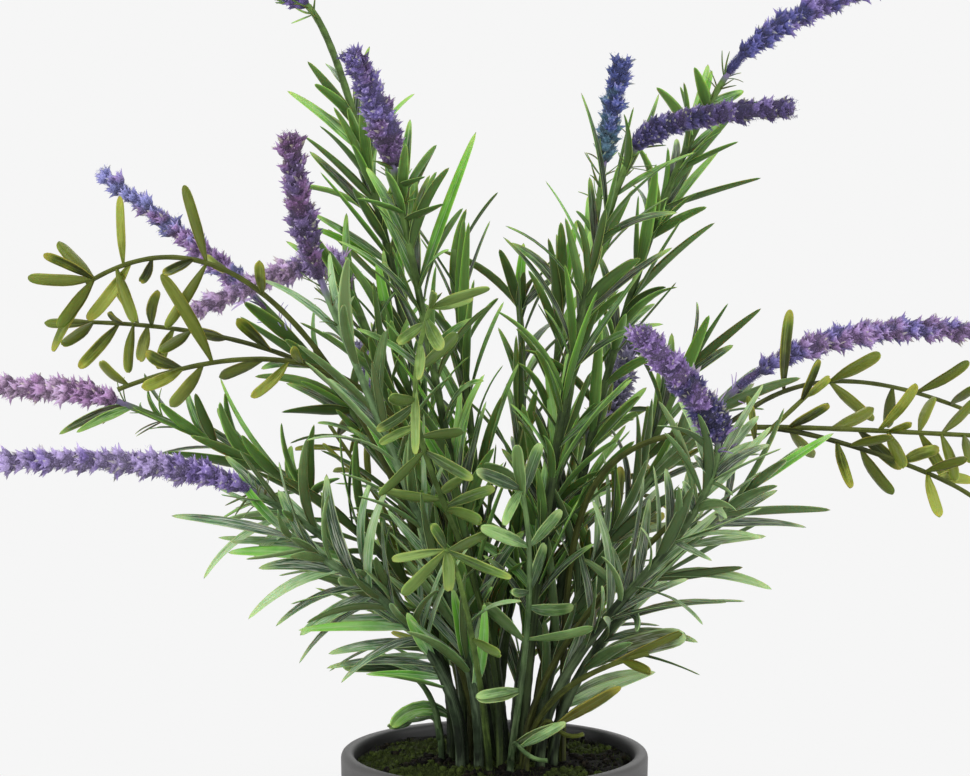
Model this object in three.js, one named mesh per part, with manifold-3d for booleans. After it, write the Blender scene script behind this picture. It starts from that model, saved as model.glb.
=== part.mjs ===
// A potted lavender: flowering stems, leafy shoots and olive filler sprigs stand in the soil of a
// plain round pot. Millimetres, +Z up. The origin is the centre of the pot's base, and -Y faces
// the viewer.

import * as THREE from "three";
import { mergeVertices } from "three/addons/utils/BufferGeometryUtils.js";
import Module from "manifold-3d";

const wasm = await Module();
wasm.setup();

// The pot, an upright taper with a thick rolled lip.
const POT_HEIGHT = 109;
const POT_BASE_RADIUS = 42;
const POT_LIP_RADIUS = 60;
const POT_WALL = 2.6;
const POT_FLOOR = 3;
const POT_FOOT_BEVEL = 1;
const POT_SIDES = 24;

// The lip's outline, from the wall below it, over the top and down to the wall inside. Each point
// is inward from the lip's outer radius, then down from the pot's top.
const LIP_OUTLINE = [
  [1.8, 12], [0.4, 11.2], [0, 1.8], [0.8, 0.5], [2, 0], [4, 0.2], [5.2, 1.6], [5.4, 13],
];

// The soil, filled almost to the lip: level round the stems, uneven and a little lower beyond.
const SOIL_TOP = 105.5;
const SOIL_FALL = 1.2;
const SOIL_RIPPLE = 0.8;
const SOIL_LEVEL_RADIUS = 30;
const SOIL_SIDES = 24;
const RIPPLE_TURNS = [0.21, 0.17];
const RIPPLE_SHIFTS = [1.3, -0.4];
const HOLE_DEPTH = 16;
const GAP = 0.3;
const HOLE_GAP = 0.375;

// Stems are square, as those of the mint family are, and taper from the soil to the tip.
const TUBE_SIDES = 4;
const TUBE_STEP_LENGTH = 38;
const LAVENDER_RADII = [2.8, 1.7];
const SPRIG_RADII = [1.9, 1.2];
const BRANCH_RADII = [1.4, 1.1];
const BRANCH_START = 16;

// How a blade's width grows from its root, as a share of its widest, and how a sprig blade ends.
const LAVENDER_ROOT_SHARE = 0.3;
const LAVENDER_WIDENING = 2;
const SPRIG_ROOT_ANGLE = 0.25;
const SPRIG_WIDENING = 1.6;
const SPRIG_END_CUT = 0.6;
const SPRIG_END_POWER = 9;

// A lavender blade: long, narrow and keeled, drawn to a point. Ranges are in degrees: lean is the
// angle to the stem, curl the bend out from there, roll and twist the turns about the blade.
const LAVENDER_BLADE = {
  lengths: [47, 40],
  spread: 0.28,
  width: 5.6,
  keel: 1.4,
  stations: [0.36, 0.72],
  profile: (u) =>
    Math.min(1, LAVENDER_ROOT_SHARE + LAVENDER_WIDENING * u) * Math.sqrt(1 - u ** 3),
  pointed: true,
  lean: [17, 36],
  closing: 0.45,
  curl: [2, 42],
  roll: [-58, 58],
  twist: 26,
  sway: 0.09,
};

// A sprig blade: short and fleshy, widest past the middle, with a round end.
const SPRIG_BLADE = {
  lengths: [27, 24],
  spread: 0.16,
  width: 5.6,
  keel: 1.5,
  stations: [0.45, 0.86, 1],
  profile: (u) =>
    Math.sin(Math.min(SPRIG_ROOT_ANGLE + SPRIG_WIDENING * u, Math.PI / 2)) -
    SPRIG_END_CUT * u ** SPRIG_END_POWER,
  pointed: false,
  lean: [42, 66],
  closing: 0,
  curl: [-26, 18],
  roll: [48, 100],
  twist: 24,
  sway: 0.1,
};

// Blades stand in pairs, each pair square to the last, and both kinds thin out towards the tip.
const PAIR_TURN = 90;
const PARTNER_TURN = 180;
const TURN_SWING = 22;
const PAIR_SHIFT = 0.42;
const KEEL_THINNING = 0.3;
const FULL_WIDTH_LENGTH = 21;

// A flower spike is a run of whorls, each a narrow waist and a ring of forward points. It swells
// from its foot up to the shoulder and shrinks from there.
const WHORL_PITCH = 11;
const WHORL_POINTS = 5;
const WAIST_PLACE = 0.22;
const WAIST_SHARE = 0.6;
const POINTS_PLACE = 0.62;
const VALLEY_SHARE = 0.64;
const FLORET_FORWARD = 0.26;
const SPIKE_FOOT_RADIUS = 1.3;
const BARE_SHARE = 0.42;
const SWELL_SPAN = 0.22;
const SWELL_SHOULDER = 0.35;
const SWELL_TAPER = 0.38;

// How far apart the blades of different nodes keep, and how the room is sampled.
const STEM_SAMPLE_STEP = 2;
const SAMPLE_STEP = 2.5;
const SAMPLE_RADIUS = 1.5;
const SAMPLE_COLUMNS = [-0.62, 0, 0.62];
const ROOT_ZONE = 8;
const OWN_SHARE = 0.7;
const ROOM_CELL = 8;
const TRIES = 18;
const TURN_PER_TRY = 14;
const CUT_PER_TRY = 0.018;
const DEPTH_PER_TRY = 2;
const LOWEST_OVER_LIP = POT_HEIGHT + 2.5;
const LOWEST_OVER_SOIL = SOIL_TOP + 3.5;
const SOIL_REACH = 52;

// The keys of the random draws: one set for each kind of shoot, one number for each use.
const LAVENDER_KEY = 100;
const SPRIG_KEY = 200;
const BRANCH_KEY = 300;
const OUTER_KEY = 400;
const KEYS_PER_SPRIG = 10;
const DRAW = { turn: 1, length: 2, lean: 3, curl: 4, twist: 5, sway: 6, shift: 7, roll: 8 };
const HASH_START = 2166136261;
const HASH_FACTORS = [16777619, 2246822519];
const HASH_SHIFTS = [15, 13];
const HASH_SIZE = 2 ** 32;

// Points closer than this, in millimetres, are one point of a solid.
const SAME_POINT = 1e-4;

// Colours and finish of each kind of piece.
const FINISHES = {
  pot: { color: 0x34353a, roughness: 0.55, metalness: 0 },
  soil: { color: 0x17150f, roughness: 0.95, metalness: 0 },
  green: { color: 0x3f6339, roughness: 0.6, metalness: 0 },
  grey: { color: 0x5f7662, roughness: 0.65, metalness: 0 },
  olive: { color: 0x6c7a34, roughness: 0.6, metalness: 0 },
  sage: { color: 0x71835b, roughness: 0.65, metalness: 0 },
  lime: { color: 0x7f9a45, roughness: 0.6, metalness: 0 },
  mauve: { color: 0x7d5b98, roughness: 0.9, metalness: 0 },
  violet: { color: 0x5f4f9c, roughness: 0.9, metalness: 0 },
  blue: { color: 0x4a4f92, roughness: 0.9, metalness: 0 },
};

// Lavender shoots. foot: where it stands on the soil. rise: how far it pulls straight up there.
// tip: its end. reach: the pull into the tip. from, to: the stretch with blades. spike: the end of
// its flower spike, with the spike's radius as girth and its pull along the stem as bend. bare: the
// slender share of the spike at its foot. taper: how much of the girth is lost towards its end.
// open: degrees that its blades lean out more than others do.
const LAVENDER = [
  { name: "01", foot: [3, -7], rise: 16, tip: [-38, -35, 340], reach: [-14, -12, 73],
    from: 0.3, to: 0.94, pairs: 6, tone: "green",
    spike: [-53, -62, 382], girth: 7.8, taper: 0.45, bend: 0.42, bloom: "mauve" },
  { name: "02", foot: [-6, -14], rise: 42, tip: [-65, -47, 298], reach: [-52, -18, 130],
    from: 0.24, to: 0.94, pairs: 8, tone: "grey",
    spike: [-75, -64, 353], girth: 7, bare: 0.24, bend: 0.35, bloom: "mauve" },
  { name: "03", foot: [-11.5, 6.5], rise: 21, tip: [-97, 36, 286], reach: [-88, 20, 84],
    from: 0.28, to: 0.9, pairs: 6, tone: "green",
    spike: [-158, 56, 332], girth: 5.8, bend: 0.2, bloom: "violet" },
  { name: "04", foot: [-1.5, 1], rise: 43, tip: [-60, 9, 299], reach: [-22, 2, 52],
    from: 0.3, to: 0.93, pairs: 6, tone: "green",
    spike: [-116, -12, 282], girth: 7, bend: 0.12, bloom: "mauve" },
  { name: "05", foot: [-16.5, 1.5], rise: 40, tip: [-148, 20, 244], reach: [-132, 11, 49],
    from: 0.2, to: 0.94, pairs: 4, tone: "green", open: 6,
    spike: [-213, 30, 248], girth: 6.8, bare: 0.08, bend: 0.3, bloom: "mauve" },
  { name: "06", foot: [-12, -7], rise: 51, tip: [-92, -38, 217], reach: [-34, -5, 20],
    from: 0.17, to: 0.96, pairs: 4, tone: "grey", open: 10,
    spike: [-190, -62, 231], girth: 7, bare: 0.1, bend: 0.3, bloom: "violet" },
  { name: "07", foot: [10.5, 3], rise: 40, tip: [43, 30, 338], reach: [9, 8, 73],
    from: 0.3, to: 0.84, pairs: 5, tone: "green",
    spike: [50, 26, 378], girth: 6.2, taper: 0.15, bend: 0.4, bloom: "blue" },
  { name: "08", foot: [10.5, -5.5], rise: 15, tip: [54, -16, 346], reach: [29, -9, 50],
    from: 0.3, to: 0.96, pairs: 8, tone: "green",
    spike: [112, -40, 361], girth: 5.2, taper: 0.1, bend: 0.22, bloom: "violet" },
  { name: "09", foot: [18, 5], rise: 40, tip: [93, 57, 371], reach: [47, 20, 69],
    from: 0.34, to: 0.92, pairs: 5, tone: "green", open: 3,
    spike: [156, 78, 406], girth: 7, bare: 0.2, bend: 0.35, bloom: "blue" },
  { name: "10", foot: [17.5, -14.5], rise: 55, tip: [82, -66, 241], reach: [-3, -12, 43],
    from: 0.2, to: 0.94, pairs: 5, tone: "green",
    spike: [50, -108, 285], girth: 8, bend: 0.14, bloom: "blue" },
  { name: "11", foot: [16, -2.5], rise: 14, tip: [95, 15, 250], reach: [70, 14, 58],
    from: 0.2, to: 0.94, pairs: 7, tone: "green",
    spike: [206, 35, 268], girth: 6.8, bare: 0.16, bend: 0.42, bloom: "mauve" },
  { name: "12", foot: [-6.5, 13], rise: 13, tip: [-75, 46, 399], reach: [-26, 8, 16],
    from: 0.32, to: 0.77, pairs: 5, tone: "green",
    spike: [-106, 60, 414], girth: 5.6, bend: 0.3, bloom: "violet" },
  { name: "13", foot: [8, 19.5], rise: 20, tip: [48, 95, 231], reach: [36, 42, 63],
    from: 0.24, to: 0.94, pairs: 5, tone: "green",
    spike: [56, 142, 262], girth: 7, bend: 0.35, bloom: "mauve" },
  { name: "14", foot: [-5, 20], rise: 20, tip: [-41, 88, 224], reach: [-39, 54, 91],
    from: 0.24, to: 0.94, pairs: 5, tone: "grey",
    spike: [-56, 136, 254], girth: 7, bend: 0.35, bloom: "violet" },
  { name: "15", foot: [4, 6.5], rise: 16, tip: [-16, 42, 302], reach: [-11, 32, 120],
    from: 0.3, to: 1, pairs: 5, tone: "green" },
  { name: "16", foot: [0, 14], rise: 20, tip: [10, 62, 278], reach: [-6, 26, 60],
    from: 0.34, to: 1, pairs: 4, tone: "green" },
  { name: "17", foot: [8.5, 11], rise: 16, tip: [27, 38, 286], reach: [8, 9, 100],
    from: 0.26, to: 1, pairs: 4, tone: "green" },
  { name: "18", foot: [-13, -14.5], rise: 57, tip: [-78, -56, 204], reach: [-24, -6, 20],
    from: 0.17, to: 1, pairs: 4, tone: "grey", open: 10 },
  { name: "19", foot: [25, 4.5], rise: 39, tip: [77, 36, 258], reach: [40, 15, 90],
    from: 0.26, to: 1, pairs: 4, tone: "green" },
  { name: "20", foot: [-4, 7], rise: 42, tip: [-44, 14, 284], reach: [-30, -2, 100],
    from: 0.3, to: 1, pairs: 5, tone: "green" },
  { name: "21", foot: [22.5, -9], rise: 38, tip: [95, -32, 216], reach: [29, -6, 28],
    from: 0.2, to: 1, pairs: 3, tone: "green", open: 8 },
];

// Lavender leaves with places of their own, by shoot: the share along the stem where each grows,
// and the place of its tip.
const OUTER_LEAVES = {
  "01": [
    [0.96, -49, -50, 342], [0.94, -32, -17, 356], [0.92, -51, -48, 328], [0.94, -22, -17, 346],
    [0.96, -26, -45, 336], [0.91, -19, -48, 326], [0.88, -22, -15, 336], [0.86, -17, -46, 339],
    [0.81, -7, -33, 352], [0.81, -12, -12, 322],
  ],
  "03": [
    [0.91, -98, 20, 283], [0.85, -88, 37, 267], [0.81, -76, 19, 252], [0.81, -83, 10, 241],
    [0.88, -93, 45, 254],
  ],
  "05": [
    [0.95, -136, 23, 248], [0.9, -130, 7, 245], [0.9, -122, 28, 251], [0.89, -116, 5, 249],
    [0.85, -113, 26, 226], [0.8, -98, 3, 233], [0.78, -108, 26, 253], [0.84, -107, 10, 245],
    [0.75, -70, 4, 237], [0.77, -80, 24, 226], [0.75, -60, 3, 216], [0.78, -72, 20, 220],
  ],
  "06": [
    [0.99, -122, -26, 211], [0.99, -112, -43, 205], [0.87, -106, -23, 202], [0.83, -91, -40, 191],
    [0.63, -75, -31, 193], [0.7, -106, -24, 196], [0.43, -72, -13, 162], [0.32, -61, 0, 149],
    [0.24, -33, -16, 166],
  ],
  "07": [
    [0.87, 32, 32, 318], [0.84, 43, 13, 315],
  ],
  "08": [
    [0.81, 48, -17, 315], [0.73, 55, -26, 304],
  ],
  "09": [
    [0.79, 106, 48, 330], [0.75, 83, 24, 320], [0.67, 88, 51, 312], [0.66, 67, 21, 289],
    [0.63, 64, 47, 280], [0.61, 51, 15, 279], [0.71, 63, 22, 337], [0.74, 69, 52, 342],
    [0.89, 64, 45, 366], [0.9, 74, 56, 366], [0.94, 79, 44, 374], [0.94, 100, 61, 364],
    [0.84, 96, 36, 345],
  ],
  "10": [
    [0.88, 73, -70, 235], [0.89, 97, -56, 238], [0.86, 88, -64, 219], [0.81, 86, -62, 210],
    [0.76, 69, -68, 225], [0.9, 99, -52, 246], [0.84, 101, -71, 239], [0.67, 81, -54, 193],
    [0.64, 63, -61, 229], [0.81, 63, -52, 241],
  ],
  "12": [
    [0.81, -67, 56, 375], [0.77, -70, 22, 368], [0.74, -55, 53, 369], [0.72, -57, 20, 359],
    [0.72, -68, 52, 356], [0.69, -68, 19, 352], [0.68, -55, 18, 345], [0.67, -75, 39, 347],
    [0.65, -73, 38, 341], [0.63, -55, 16, 328], [0.61, -71, 17, 318], [0.59, -72, 25, 312],
  ],
  "15": [
    [0.88, -12, 37, 315], [0.87, -10, 26, 314], [0.93, -11, 41, 318],
  ],
  "16": [
    [0.99, 2, 56, 301], [0.99, 12, 77, 302], [0.99, 25, 56, 290], [0.99, 16, 68, 289],
    [0.99, 12, 56, 292],
  ],
  "17": [
    [0.94, 21, 23, 308], [0.97, 26, 25, 314], [0.98, 33, 53, 313], [0.96, 33, 21, 306],
    [0.93, 23, 48, 288], [0.99, 25, 54, 307],
  ],
  "18": [
    [0.84, -101, -35, 193], [0.73, -88, -59, 191], [0.53, -71, -48, 187], [0.61, -74, -34, 161],
    [0.44, -74, -43, 165], [0.37, -63, -40, 155], [0.26, -45, -15, 149], [0.21, -49, -33, 146],
  ],
  "19": [
    [0.97, 95, 41, 264], [0.94, 84, 20, 278],
  ],
  "21": [
    [0.99, 129, -23, 237], [0.85, 120, -12, 199], [0.65, 105, -36, 179], [0.64, 104, -12, 202],
    [0.89, 106, -45, 220], [0.42, 77, -32, 159], [0.2, 63, 5, 139], [0.33, 51, -27, 154],
    [0.49, 53, -13, 189], [0.55, 34, -25, 187],
  ],
};

// Filler sprigs, some forked. leaves: the share along the stem where each leaf grows, and the place
// of its tip. A sprig without them has pairs of leaves by rule. at: where a branch leaves the stem.
const SPRIGS = [
  { name: "01", foot: [-4.5, -7], rise: 8, tip: [-156, -10, 293], reach: [-100, 29, -64],
    tone: "olive", branches: [],
    leaves: [
      [0.99, -179, -6, 295], [0.99, -171, -21, 305], [0.99, -168, 2, 308],
      [0.99, -166, -19, 277], [0.99, -169, -6, 267], [0.95, -142, -18, 327],
      [0.94, -156, -9, 279], [0.96, -136, -27, 280], [0.83, -118, -15, 331],
      [0.83, -125, -25, 277], [0.85, -124, -39, 299], [0.74, -88, -41, 304],
      [0.91, -136, -3, 293], [0.79, -111, 0, 303],
    ] },
  { name: "02", foot: [-9.5, -2], rise: 28, tip: [-143, -26, 254], reach: [-146, -20, -56],
    tone: "olive",
    leaves: [
      [0.99, -147, -45, 267], [0.94, -134, -5, 266], [0.94, -132, -43, 257],
      [0.92, -125, -3, 245], [0.91, -126, -26, 298], [0.85, -106, -1, 256],
      [0.82, -92, -32, 252], [0.8, -76, -32, 271],
    ],
    branches: [{ at: 0.7, tip: [-169, 14, 276], reach: [-74, 2, 0],
      leaves: [
        [0.94, -177, 29, 274], [0.94, -166, -7, 269], [0.89, -163, 22, 257],
        [0.88, -148, -1, 281], [0.85, -149, 28, 288], [0.86, -141, -4, 258],
        [0.83, -140, 30, 259], [0.82, -129, -8, 290], [0.77, -132, 27, 256],
        [0.73, -128, -12, 267], [0.63, -116, 24, 271], [0.49, -98, -17, 280],
      ] }] },
  { name: "03", foot: [26.5, -4], rise: 145.5, tip: [196, 5, 232], reach: [163.5, 43, -13],
    tone: "olive",
    leaves: [
      [0.79, 126, -30, 249], [0.84, 147, 6, 243], [0.89, 161, -15, 255], [0.87, 158, 2, 220],
      [0.9, 156, -24, 224], [0.93, 172, 17, 246], [0.9, 159, -17, 240], [0.93, 177, 9, 214],
      [0.95, 176, -15, 218], [0.95, 188, 17, 245], [0.97, 182, -18, 225], [0.75, 97, -28, 250],
    ],
    branches: [
      { at: 0.67, tip: [195, 40, 235], reach: [80, 10, -36],
        leaves: [
          [0.48, 115, 18, 281], [0.65, 150, 10, 264], [0.65, 150, 32, 235],
          [0.87, 187, 28, 259], [0.82, 158, 50, 230], [0.94, 188, 17, 250],
        ] },
      { at: 0.76, tip: [185, -30, 210], reach: [7, -10, -10],
        leaves: [
          [0.13, 124, 6, 224], [0.33, 135, -30, 217], [0.42, 154, -5, 211],
          [0.38, 150, -33, 237], [0.57, 172, -1, 228], [0.67, 168, -37, 207],
          [0.71, 185, -3, 216], [0.66, 178, -37, 229],
        ] },
    ] },
  { name: "04", foot: [11, -13], rise: 51, tip: [120, -14, 251], reach: [48, 24, 42],
    tone: "olive", branches: [],
    leaves: [
      [0.98, 122, -32, 266], [0.99, 130, 6, 255], [0.86, 98, -4, 247], [0.82, 81, -42, 232],
    ] },
  { name: "05", foot: [6, -21], rise: 15, tip: [7, -66, 231], reach: [-14, -10, 39],
    tone: "sage",
    leaves: [
      [0.89, 8, -72, 239], [0.9, 17, -52, 237], [0.92, -7, -79, 230], [0.95, -4, -44, 227],
      [0.92, 3, -82, 211], [0.76, 25, -40, 210], [0.76, -5, -69, 209], [0.64, 19, -33, 196],
      [0.64, 6, -63, 183], [0.6, 30, -29, 171], [0.51, 37, -45, 166], [0.5, -4, -28, 172],
      [0.36, -7, -46, 140],
    ],
    branches: [{ at: 0.06, tip: [20, -36, 113], reach: [12, -3, 1],
      leaves: [[0.53, 27, -38, 128]] }] },
  { name: "06", foot: [2, -14], rise: 106, tip: [-23, -78, 292], reach: [23, -4, 67],
    tone: "lime", branches: [],
    leaves: [
      [0.99, -22, -92, 297], [0.99, -8, -59, 292], [0.99, -2, -87, 298], [0.97, -19, -97, 277],
      [0.96, -36, -57, 275], [0.92, -27, -95, 266], [0.86, -14, -60, 279],
      [0.79, -38, -89, 259], [0.78, -44, -53, 242], [0.82, -29, -76, 236],
      [0.69, -12, -43, 240], [0.65, -8, -70, 226], [0.72, -43, -46, 236],
      [0.65, -43, -63, 219], [0.53, -12, -30, 221], [0.49, 0, -31, 217], [0.48, -5, -62, 209],
      [0.51, -44, -40, 218],
    ] },
  { name: "07", foot: [-2, -20], rise: 12, tip: [-18, -82, 202], reach: [-7, -28, 11],
    tone: "lime", branches: [],
    leaves: [
      [0.99, -38, -69, 196], [0.99, -34, -87, 186], [0.99, -17, -62, 183], [0.98, 6, -85, 192],
      [0.97, -1, -63, 206], [0.99, -23, -95, 213], [0.56, 2, -61, 159],
    ] },
  { name: "08", foot: [12, -20.5], rise: 30, tip: [58, -44, 156], reach: [20, -4, 6],
    tone: "olive",
    leaves: [
      [0.73, 71, -43, 164], [0.91, 66, -23, 157], [0.84, 58, -60, 152],
    ],
    branches: [{ at: 0.2, tip: [34, -30, 122], reach: [12, -4, 6],
      leaves: [[0.51, 48, -33, 141]] }] },
  { name: "09", foot: [-20.5, -4], rise: 14, tip: [-37, -12, 144], reach: [-14, -4, 6],
    tone: "sage",
    leaves: [
      [0.99, -58, -25, 147], [0.98, -46, 8, 145],
    ],
    branches: [{ at: 0.2, tip: [-36, 10, 119], reach: [-10, 5, 1],
      leaves: [[0.86, -42, 20, 114]] }] },
  { name: "10", foot: [-13, 15], rise: 24, tip: [-67, 72, 228], reach: [-57, 38, 77],
    from: 0.4, pairs: 4, tone: "olive", branches: [] },
  { name: "11", foot: [16, 12.5], rise: 16, tip: [80, 80, 221], reach: [70, 44, 62],
    from: 0.4, pairs: 4, tone: "olive", branches: [] },
];

const UP = new THREE.Vector3(0, 0, 1);
const toRadians = THREE.MathUtils.degToRad;
const mix = THREE.MathUtils.lerp;

// A random number from 0 to 1 that depends only on the keys, so each blade draws its own.
function draw(...keys) {
  let hash = HASH_START;
  for (const key of keys) {
    hash = Math.imul(hash ^ key, HASH_FACTORS[0]);
    hash ^= hash >>> HASH_SHIFTS[0];
    hash = Math.imul(hash, HASH_FACTORS[1]);
    hash ^= hash >>> HASH_SHIFTS[1];
  }
  return (hash >>> 0) / HASH_SIZE;
}

// A random number from -1 to 1.
const swing = (...keys) => 2 * draw(...keys) - 1;

// A closed skin over a run of rings. A first or last ring of one point closes it in a tip, and a
// longer one is capped with a fan.
function skin(rings) {
  const points = [];
  const faces = [];
  const starts = rings.map((ring) => {
    const start = points.length;
    points.push(...ring);
    return start;
  });
  const cap = (start, size, flip) => {
    for (let k = 1; k < size - 1; k += 1) {
      faces.push(start, start + (flip ? k + 1 : k), start + (flip ? k : k + 1));
    }
  };
  cap(starts[0], rings[0].length, true);
  for (let i = 1; i < rings.length; i += 1) {
    const size = Math.max(rings[i - 1].length, rings[i].length);
    for (let k = 0; k < size; k += 1) {
      const next = (k + 1) % size;
      if (rings[i].length === 1) {
        faces.push(starts[i - 1] + k, starts[i - 1] + next, starts[i]);
      } else if (rings[i - 1].length === 1) {
        faces.push(starts[i - 1], starts[i] + next, starts[i] + k);
      } else {
        faces.push(starts[i - 1] + k, starts[i - 1] + next, starts[i] + next);
        faces.push(starts[i - 1] + k, starts[i] + next, starts[i] + k);
      }
    }
  }
  cap(starts.at(-1), rings.at(-1).length, false);
  const geometry = new THREE.BufferGeometry().setFromPoints(points);
  geometry.setIndex(faces);
  return geometry;
}

// A closed geometry as a solid that can be joined or cut.
function solidOf(geometry) {
  const bare = new THREE.BufferGeometry();
  bare.setAttribute("position", geometry.getAttribute("position"));
  bare.setIndex(geometry.index);
  const merged = mergeVertices(bare, SAME_POINT);
  return new wasm.Manifold(
    new wasm.Mesh({
      numProp: 3,
      vertProperties: new Float32Array(merged.attributes.position.array),
      triVerts: new Uint32Array(merged.index.array),
    }),
  );
}

// A solid back as a geometry.
function geometryOf(solid) {
  const mesh = solid.getMesh();
  const geometry = new THREE.BufferGeometry();
  geometry.setAttribute("position", new THREE.BufferAttribute(mesh.vertProperties, 3));
  geometry.setIndex(new THREE.BufferAttribute(mesh.triVerts, 1));
  return geometry;
}

const join = (geometries) => geometries.map(solidOf).reduce((all, one) => all.add(one));

// The room taken so far, as small balls in a grid of cells.
class Room {
  constructor() {
    this.cells = new Map();
  }

  cell(x, y, z) {
    return `${x},${y},${z}`;
  }

  put(ball) {
    const key = this.cell(...ball.at.toArray().map((v) => Math.floor(v / ROOM_CELL)));
    if (!this.cells.has(key)) {
      this.cells.set(key, []);
    }
    this.cells.get(key).push(ball);
  }

  // Whether a ball keeps clear. Blades of its own node may come closer, and its own stem counts not.
  isClear(ball) {
    const [cx, cy, cz] = ball.at.toArray().map((v) => Math.floor(v / ROOM_CELL));
    for (let x = cx - 1; x <= cx + 1; x += 1) {
      for (let y = cy - 1; y <= cy + 1; y += 1) {
        for (let z = cz - 1; z <= cz + 1; z += 1) {
          for (const other of this.cells.get(this.cell(x, y, z)) ?? []) {
            const own = other.owner === ball.owner;
            if (own && (other.isStem || ball.atRoot || other.atRoot)) {
              continue;
            }
            const reach = (ball.radius + other.radius) * (own ? OWN_SHARE : 1);
            if (ball.at.distanceToSquared(other.at) < reach * reach) {
              return false;
            }
          }
        }
      }
    }
    return true;
  }
}

// The frame round a curve at t: its direction and two directions square to it.
function frameAt(curve, heading, t) {
  const along = curve.getTangent(t);
  const side = new THREE.Vector3().crossVectors(UP, heading).normalize();
  const u = side.addScaledVector(along, -side.dot(along)).normalize();
  const v = new THREE.Vector3().crossVectors(along, u);
  return { at: curve.getPoint(t), along, u, v };
}

// A ring of points round a frame. radiusAt and forwardAt give each point's radius and advance.
function ringAt(frame, sides, radiusAt, forwardAt = () => 0) {
  return Array.from({ length: sides }, (_, k) => {
    const angle = (2 * Math.PI * (k + 0.5)) / sides;
    return frame.at
      .clone()
      .addScaledVector(frame.u, radiusAt(k) * Math.cos(angle))
      .addScaledVector(frame.v, radiusAt(k) * Math.sin(angle))
      .addScaledVector(frame.along, forwardAt(k));
  });
}

// A shoot: its curve, the level direction it heads for, its number of straight steps and the extra
// lean of its blades in degrees.
function shootOf(curve, open = 0) {
  const heading = curve.v3.clone().sub(curve.v0).setZ(0);
  const steps = Math.round(curve.v0.distanceTo(curve.v3) / TUBE_STEP_LENGTH) + 1;
  return { curve, heading, steps, open };
}

// The frame of a blade's root, on the straight step of the tube that it grows from.
function rootAt(shoot, t) {
  const frame = frameAt(shoot.curve, shoot.heading, t);
  const step = Math.min(Math.floor(t * shoot.steps), shoot.steps - 1);
  const start = shoot.curve.getPoint(step / shoot.steps);
  const end = shoot.curve.getPoint((step + 1) / shoot.steps);
  frame.at.lerpVectors(start, end, t * shoot.steps - step);
  return frame;
}

// The curve of a shoot, from its foot on the soil up to its tip.
function shootCurve(row) {
  const foot = new THREE.Vector3(...row.foot, SOIL_TOP);
  const tip = new THREE.Vector3(...row.tip);
  const curve = new THREE.CubicBezierCurve3(
    foot,
    foot.clone().add(new THREE.Vector3(0, 0, row.rise)),
    tip.clone().sub(new THREE.Vector3(...row.reach)),
    tip,
  );
  return shootOf(curve, row.open);
}

// The curve of a branch, which leaves its parent along the parent's own direction.
function branchCurve(parent, row) {
  const { at: foot, along } = rootAt(parent, row.at);
  const tip = new THREE.Vector3(...row.tip);
  const curve = new THREE.CubicBezierCurve3(
    foot,
    foot.clone().addScaledVector(along, BRANCH_START),
    tip.clone().sub(new THREE.Vector3(...row.reach)),
    tip,
  );
  return shootOf(curve);
}

// A tapered tube along a shoot. A planted one starts at the bottom of its hole.
function tube(shoot, radii, planted) {
  const rings = [];
  if (planted) {
    const foot = frameAt(shoot.curve, shoot.heading, 0);
    foot.at.z -= HOLE_DEPTH;
    rings.push(ringAt(foot, TUBE_SIDES, () => radii[0]));
  }
  for (let i = 0; i <= shoot.steps; i += 1) {
    const t = i / shoot.steps;
    const frame = frameAt(shoot.curve, shoot.heading, t);
    rings.push(ringAt(frame, TUBE_SIDES, () => mix(radii[0], radii[1], t)));
  }
  return skin(rings);
}

// The blade numbered `index` on a shoot, as its try `attempt` would place it.
function bladeOf(kind, shoot, key, index, attempt, t) {
  const frame = rootAt(shoot, t);
  const pair = Math.floor(index / 2);
  const isPartner = index % 2;
  const turns = Math.ceil(attempt / 2) * (attempt % 2 ? 1 : -1);
  const degrees = pair * PAIR_TURN + isPartner * PARTNER_TURN + turns * TURN_PER_TRY;
  const length = mix(...kind.lengths, t) * (1 + kind.spread * swing(key, index, DRAW.length));
  const closed = 1 - kind.closing * t;
  const lean = closed * mix(...kind.lean, draw(key, index, attempt, DRAW.lean)) + shoot.open;
  const curl = mix(...kind.curl, draw(key, index, attempt, DRAW.curl));
  const roll = mix(...kind.roll, draw(key, index, DRAW.roll)) * (isPartner ? 1 : -1);
  const angle = toRadians(degrees + TURN_SWING * swing(key, index, DRAW.turn));
  const out = new THREE.Vector3()
    .addScaledVector(frame.u, Math.cos(angle))
    .addScaledVector(frame.v, Math.sin(angle));
  return {
    kind,
    root: frame.at,
    along: frame.along,
    out,
    across: new THREE.Vector3().crossVectors(frame.along, out),
    length: length * (1 - CUT_PER_TRY * attempt),
    lean: toRadians(lean),
    curl: toRadians(curl),
    roll: toRadians(roll),
    twist: toRadians(kind.twist * swing(key, index, DRAW.twist)),
    sway: kind.sway * swing(key, index, DRAW.sway),
  };
}

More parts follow.
